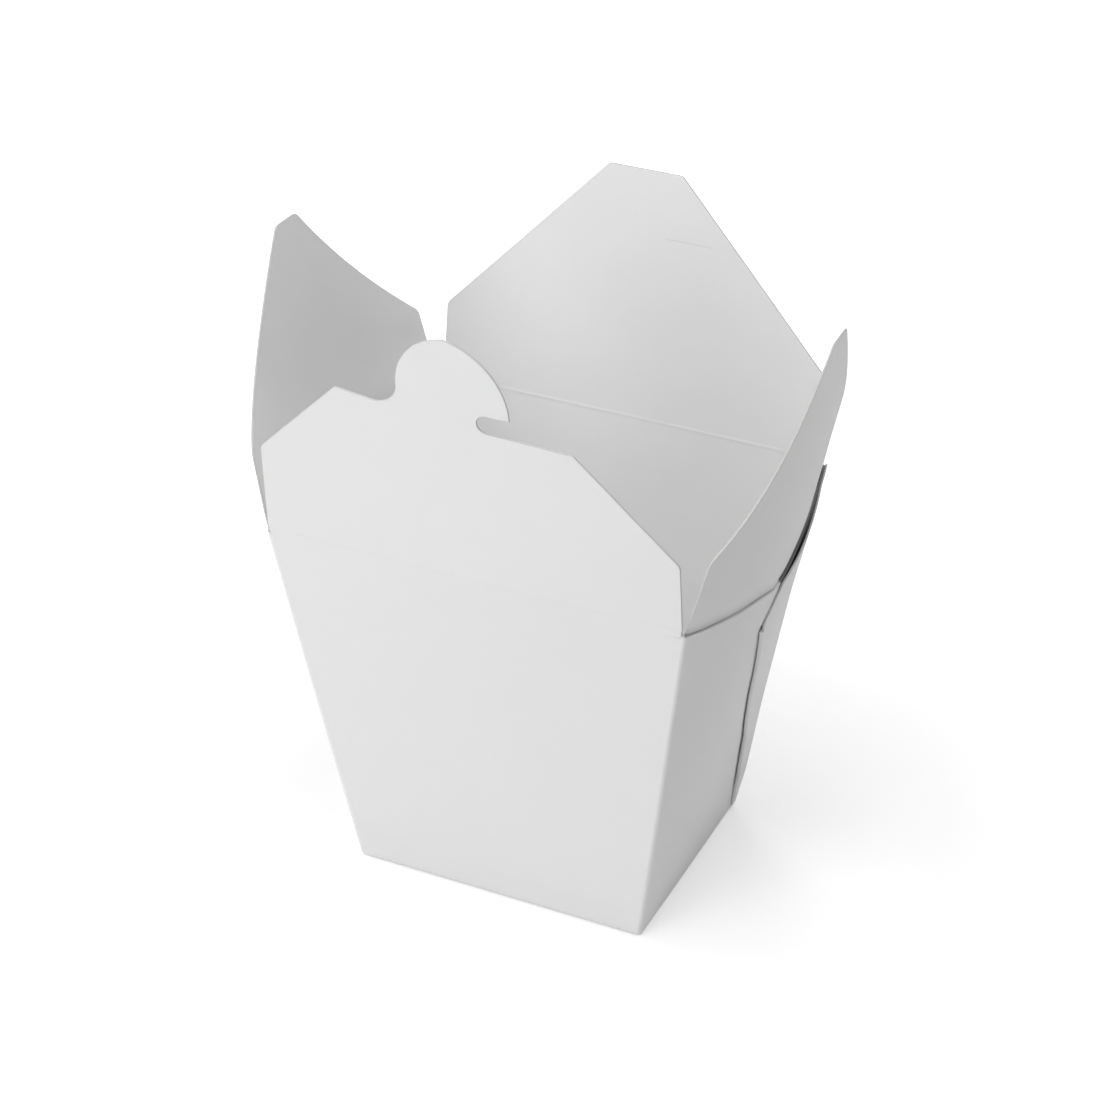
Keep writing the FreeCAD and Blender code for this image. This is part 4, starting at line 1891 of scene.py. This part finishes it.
def make_fibre_group() -> bpy.types.NodeTree:
    """The height of fine fibres that lie along the board's grain.

    Returns:
        The group, with the inputs Scale and Stretch and the output Height.
    """
    nodes, given, result = new_group("board_fibre", {"Scale": 900.0, "Stretch": 0.25}, "Height")
    place = nodes.add("ShaderNodeTexCoord")
    sizes = {"X": 1.0, "Y": 1.0, "Z": given.outputs["Stretch"]}
    grain = nodes.add("ShaderNodeCombineXYZ", sizes)
    terms = {0: place.outputs["Object"], 1: grain.outputs["Vector"]}
    squeezed = nodes.add("ShaderNodeVectorMath", terms, operation="MULTIPLY")
    sockets = {"Vector": squeezed.outputs["Vector"], "Scale": given.outputs["Scale"]}
    fine = nodes.add("ShaderNodeTexNoise", {**sockets, "Detail": 4.0, "Roughness": 0.6})
    nodes.tree.links.new(fine.outputs["Fac"], result.inputs["Height"])
    return nodes.tree


@dataclass(frozen=True)
class BoardFinish:
    """One surface of the white board: its colour where clean, a lighter colour for rubbed coating
    and painted highlight, and a dark colour for painted shade.
    """

    name: str
    colour: tuple[float, float, float]
    rub_and_highlight_colour: tuple[float, float, float]
    painted_shade_colour: tuple[float, float, float]
    roughness: float
    specular: float
    mottle: float
    mottle_scale: float
    fibre: float
    fibre_scale: float
    fibre_height: float = 0.02 * MM

    def make(
        self, mottle_group: bpy.types.NodeTree, fibre_group: bpy.types.NodeTree
    ) -> bpy.types.Material:
        """Builds the material.

        Args:
            mottle_group: The group that gives the cloudy unevenness.
            fibre_group: The group that gives the fibres' height.

        Returns:
            The new material.
        """
        material = bpy.data.materials.new(self.name)
        material.use_nodes = True
        material.diffuse_color = (*self.colour, 1.0)
        material.node_tree.nodes.clear()
        nodes = Nodes(material.node_tree)
        tone = (*self.colour, 1.0)
        # Mixes in the lighter colour of rubbed coating and painted highlight, then the dark
        # colour of painted shade.
        for attribute, colour in (("rub", self.rub_and_highlight_colour), ("tuck", self.painted_shade_colour)):
            mask = nodes.add("ShaderNodeAttribute", attribute_name=attribute)
            given = {MIX_FACTOR: mask.outputs["Fac"], MIX_A: tone, MIX_B: (*colour, 1.0)}
            tone = nodes.add("ShaderNodeMix", given, data_type="RGBA").outputs[MIX_RESULT]
        given = {"Scale": self.mottle_scale, "Amount": self.mottle}
        mottle = nodes.add("ShaderNodeGroup", given, node_tree=mottle_group)
        given = {0: tone, "Scale": mottle.outputs["Value"]}
        shaded = nodes.add("ShaderNodeVectorMath", given, operation="SCALE")
        fibre = nodes.add("ShaderNodeGroup", {"Scale": self.fibre_scale}, node_tree=fibre_group)
        given = {"Strength": self.fibre, "Distance": self.fibre_height}
        bump = nodes.add("ShaderNodeBump", {**given, "Height": fibre.outputs["Height"]})
        given = {
            "Base Color": shaded.outputs["Vector"],
            "Roughness": self.roughness,
            "Specular IOR Level": self.specular,
            "Normal": bump.outputs["Normal"],
        }
        shader = nodes.add("ShaderNodeBsdfPrincipled", given)
        nodes.add("ShaderNodeOutputMaterial", {"Surface": shader.outputs["BSDF"]})
        return material


COATED = BoardFinish(
    name="board_coated",
    colour=(0.86, 0.86, 0.86),
    # The lighter colour of rubbed coating and painted highlight.
    rub_and_highlight_colour=(0.9, 0.9, 0.9),
    # The dark colour of painted shade in folds, grooves and pockets.
    painted_shade_colour=(0.08, 0.08, 0.08),
    roughness=0.5,
    specular=0.3,
    mottle=0.02,
    mottle_scale=45.0,
    fibre=0.5,
    fibre_scale=1500.0,
)
LINED = BoardFinish(
    name="board_inside",
    colour=(0.85, 0.85, 0.85),
    # The lighter colour of rubbed coating and painted highlight.
    rub_and_highlight_colour=(0.87, 0.87, 0.87),
    # The dark colour of painted shade in folds, grooves and pockets.
    painted_shade_colour=(0.12, 0.12, 0.12),
    roughness=0.62,
    specular=0.25,
    mottle=0.025,
    mottle_scale=38.0,
    fibre=0.8,
    fibre_scale=1200.0,
)
CUT = BoardFinish(
    name="board_cut_edge",
    colour=(0.59, 0.59, 0.58),
    # The lighter colour of rubbed coating and painted highlight.
    rub_and_highlight_colour=(0.66, 0.66, 0.65),
    # The dark colour of painted shade in folds, grooves and pockets.
    painted_shade_colour=(0.05, 0.05, 0.05),
    roughness=0.85,
    specular=0.15,
    mottle=0.05,
    mottle_scale=400.0,
    fibre=1.0,
    fibre_scale=2500.0,
)


# ---------------------------------------------------------------- floor, light and camera


@dataclass(frozen=True)
class Softbox:
    """A round soft lamp that looks at the pail, in degrees, metres and watts."""

    name: str
    azimuth: float
    elevation: float
    distance: float
    size: float
    power: float

    def make(self, aim: Vector) -> bpy.types.Object:
        """Builds the lamp.

        Args:
            aim: The point it looks at.

        Returns:
            The lamp, linked to the scene.
        """
        data = bpy.data.lights.new(self.name, "AREA")
        data.shape = "DISK"
        data.size = self.size
        data.energy = self.power
        lamp = bpy.data.objects.new(self.name, data)
        turn, rise = math.radians(self.azimuth), math.radians(self.elevation)
        level = math.cos(rise)
        way = Vector((math.sin(turn) * level, -math.cos(turn) * level, math.sin(rise)))
        facing = (-way).to_track_quat("-Z", "Y").to_matrix().to_4x4()
        lamp.matrix_world = Matrix.Translation(aim + way * self.distance) @ facing
        bpy.context.scene.collection.objects.link(lamp)
        return lamp


@dataclass
class Studio:
    """A plain pale floor in a white room, and wide soft lamps.

    The floor is lifted towards white by distance from its middle, only where it is seen.
    """

    floor_size: float = 6.0
    floor_colour: float = 0.75
    floor_lift: float = 0.36
    white_from: float = 0.09
    white_at: float = 0.35
    room_light: float = 0.0
    aim_height: float = 0.08
    lamps: tuple[Softbox, ...] = (
        Softbox("softbox_near", -26, 40, 0.7, 0.5, 1.22),
        Softbox("softbox_low", -10, 5, 0.8, 0.5, 0.68),
        Softbox("softbox_left", -75, 55, 0.9, 0.5, 1.9),
        Softbox("softbox_front", -20, 15, 1.6, 1.0, 6.5),
        Softbox("softbox_top", 60, 75, 1.6, 1.0, 12.5),
        Softbox("softbox_right", 130, 15, 1.6, 1.0, 6.3),
        Softbox("softbox_back", -140, 15, 1.6, 1.0, 12.5),
    )

    def make_floor(self) -> bpy.types.Object:
        """The floor: it takes shadows, and seen directly it is lifted to white.

        Returns:
            The floor, linked to the scene.
        """
        half = self.floor_size / 2
        mesh = bpy.data.meshes.new("floor")
        corners = [(-half, -half, 0), (half, -half, 0), (half, half, 0), (-half, half, 0)]
        mesh.from_pydata(corners, [], [(0, 1, 2, 3)])
        floor = bpy.data.objects.new("floor", mesh)
        bpy.context.scene.collection.objects.link(floor)
        material = bpy.data.materials.new("floor_paper")
        material.use_nodes = True
        material.node_tree.nodes.clear()
        nodes = Nodes(material.node_tree)
        given = {
            "Base Color": (*[self.floor_colour] * 3, 1.0),
            "Roughness": 1.0,
            "Specular IOR Level": 0.0,
        }
        paper = nodes.add("ShaderNodeBsdfPrincipled", given)
        place = nodes.add("ShaderNodeTexCoord")
        given = {0: place.outputs["Object"]}
        distance = nodes.add("ShaderNodeVectorMath", given, operation="LENGTH")
        given = {
            "Value": distance.outputs["Value"],
            "From Min": self.white_from,
            "From Max": self.white_at,
            "To Min": self.floor_lift,
            "To Max": 1.0,
        }
        lift = nodes.add("ShaderNodeMapRange", given)
        glow = nodes.add("ShaderNodeEmission", {"Strength": lift.outputs["Result"]})
        nothing = nodes.add("ShaderNodeEmission", {"Strength": 0.0})
        ray = nodes.add("ShaderNodeLightPath")
        given = {0: ray.outputs["Is Camera Ray"], 1: nothing.outputs[0], 2: glow.outputs[0]}
        seen = nodes.add("ShaderNodeMixShader", given)
        given = {0: paper.outputs["BSDF"], 1: seen.outputs["Shader"]}
        both = nodes.add("ShaderNodeAddShader", given)
        nodes.add("ShaderNodeOutputMaterial", {"Surface": both.outputs["Shader"]})
        mesh.materials.append(material)
        return floor

    def make_room(self) -> None:
        """The room: white where it is seen or mirrored, and elsewhere as bright as its light."""
        world = bpy.data.worlds.new("room")
        world.use_nodes = True
        bpy.context.scene.world = world
        world.node_tree.nodes.clear()
        nodes = Nodes(world.node_tree)
        white = {"Color": (1.0, 1.0, 1.0, 1.0)}
        lit = nodes.add("ShaderNodeBackground", {**white, "Strength": self.room_light})
        shown = nodes.add("ShaderNodeBackground", {**white, "Strength": 1.0})
        ray = nodes.add("ShaderNodeLightPath")
        mask = ray.outputs["Is Camera Ray"]
        for kind in ("Is Glossy Ray", "Is Transmission Ray"):
            given = {0: mask, 1: ray.outputs[kind]}
            mask = nodes.add("ShaderNodeMath", given, operation="MAXIMUM").outputs[0]
        given = {0: mask, 1: lit.outputs["Background"], 2: shown.outputs["Background"]}
        mixed = nodes.add("ShaderNodeMixShader", given)
        nodes.add("ShaderNodeOutputWorld", {"Surface": mixed.outputs["Shader"]})

    def make(self) -> None:
        """Sets up the floor, the room and the lamps."""
        self.make_floor()
        self.make_room()
        for lamp in self.lamps:
            lamp.make(Vector((0, 0, self.aim_height)))


@dataclass
class Viewpoint:
    """The camera's place, aim and lens, in metres, degrees and millimetres."""

    place: tuple[float, float, float] = (0.228623, -0.489174, 0.404105)
    aim: tuple[float, float, float] = (-0.002216, 0.004255, 0.072883)
    roll: float = 0.229
    lens: float = 94.507
    sensor: float = 36.0
    clip: tuple[float, float] = (0.01, 20.0)

    def make(self) -> bpy.types.Object:
        """Builds the camera.

        Returns:
            The camera, which is now the scene's own.
        """
        data = bpy.data.cameras.new("camera")
        data.lens = self.lens
        data.sensor_width = self.sensor
        data.clip_start, data.clip_end = self.clip
        camera = bpy.data.objects.new("camera", data)
        place, aim = Vector(self.place), Vector(self.aim)
        turn = (aim - place).to_track_quat("-Z", "Y").to_matrix().to_4x4()
        roll = Matrix.Rotation(math.radians(self.roll), 4, "Z")
        camera.matrix_world = Matrix.Translation(place) @ turn @ roll
        bpy.context.scene.collection.objects.link(camera)
        bpy.context.scene.camera = camera
        return camera


# ---------------------------------------------------------------- the whole scene


def main() -> None:
    """Builds the pail, the studio and the camera."""
    logging.basicConfig(level=logging.INFO, format="%(name)s %(message)s")
    scene = bpy.context.scene
    scene.view_settings.view_transform = "Standard"
    mottle, fibre = make_mottle_group(), make_fibre_group()
    board = Board([finish.make(mottle, fibre) for finish in (COATED, LINED, CUT)])
    pail = Pail()
    walls = Walls(pail, SideFlap(pail))
    front, back = FrontFlap(pail, walls.face_cells), BackFlap(pail, walls.face_cells)
    front_crease = CreaseStrip(front, groove=0.05, bead=0.06)
    back_crease = CreaseStrip(back, groove=0.03, bead=0.065)
    webs = [Web(pail, side) for side in Side]
    for maker in (walls, front, back, front_crease, back_crease, *webs):
        piece = maker.attach(board.build(maker.name(), maker.net()))
        LOG.info("built %s", piece.name)
    Studio().make()
    Viewpoint().make()


if __name__ == "__main__":
    main()
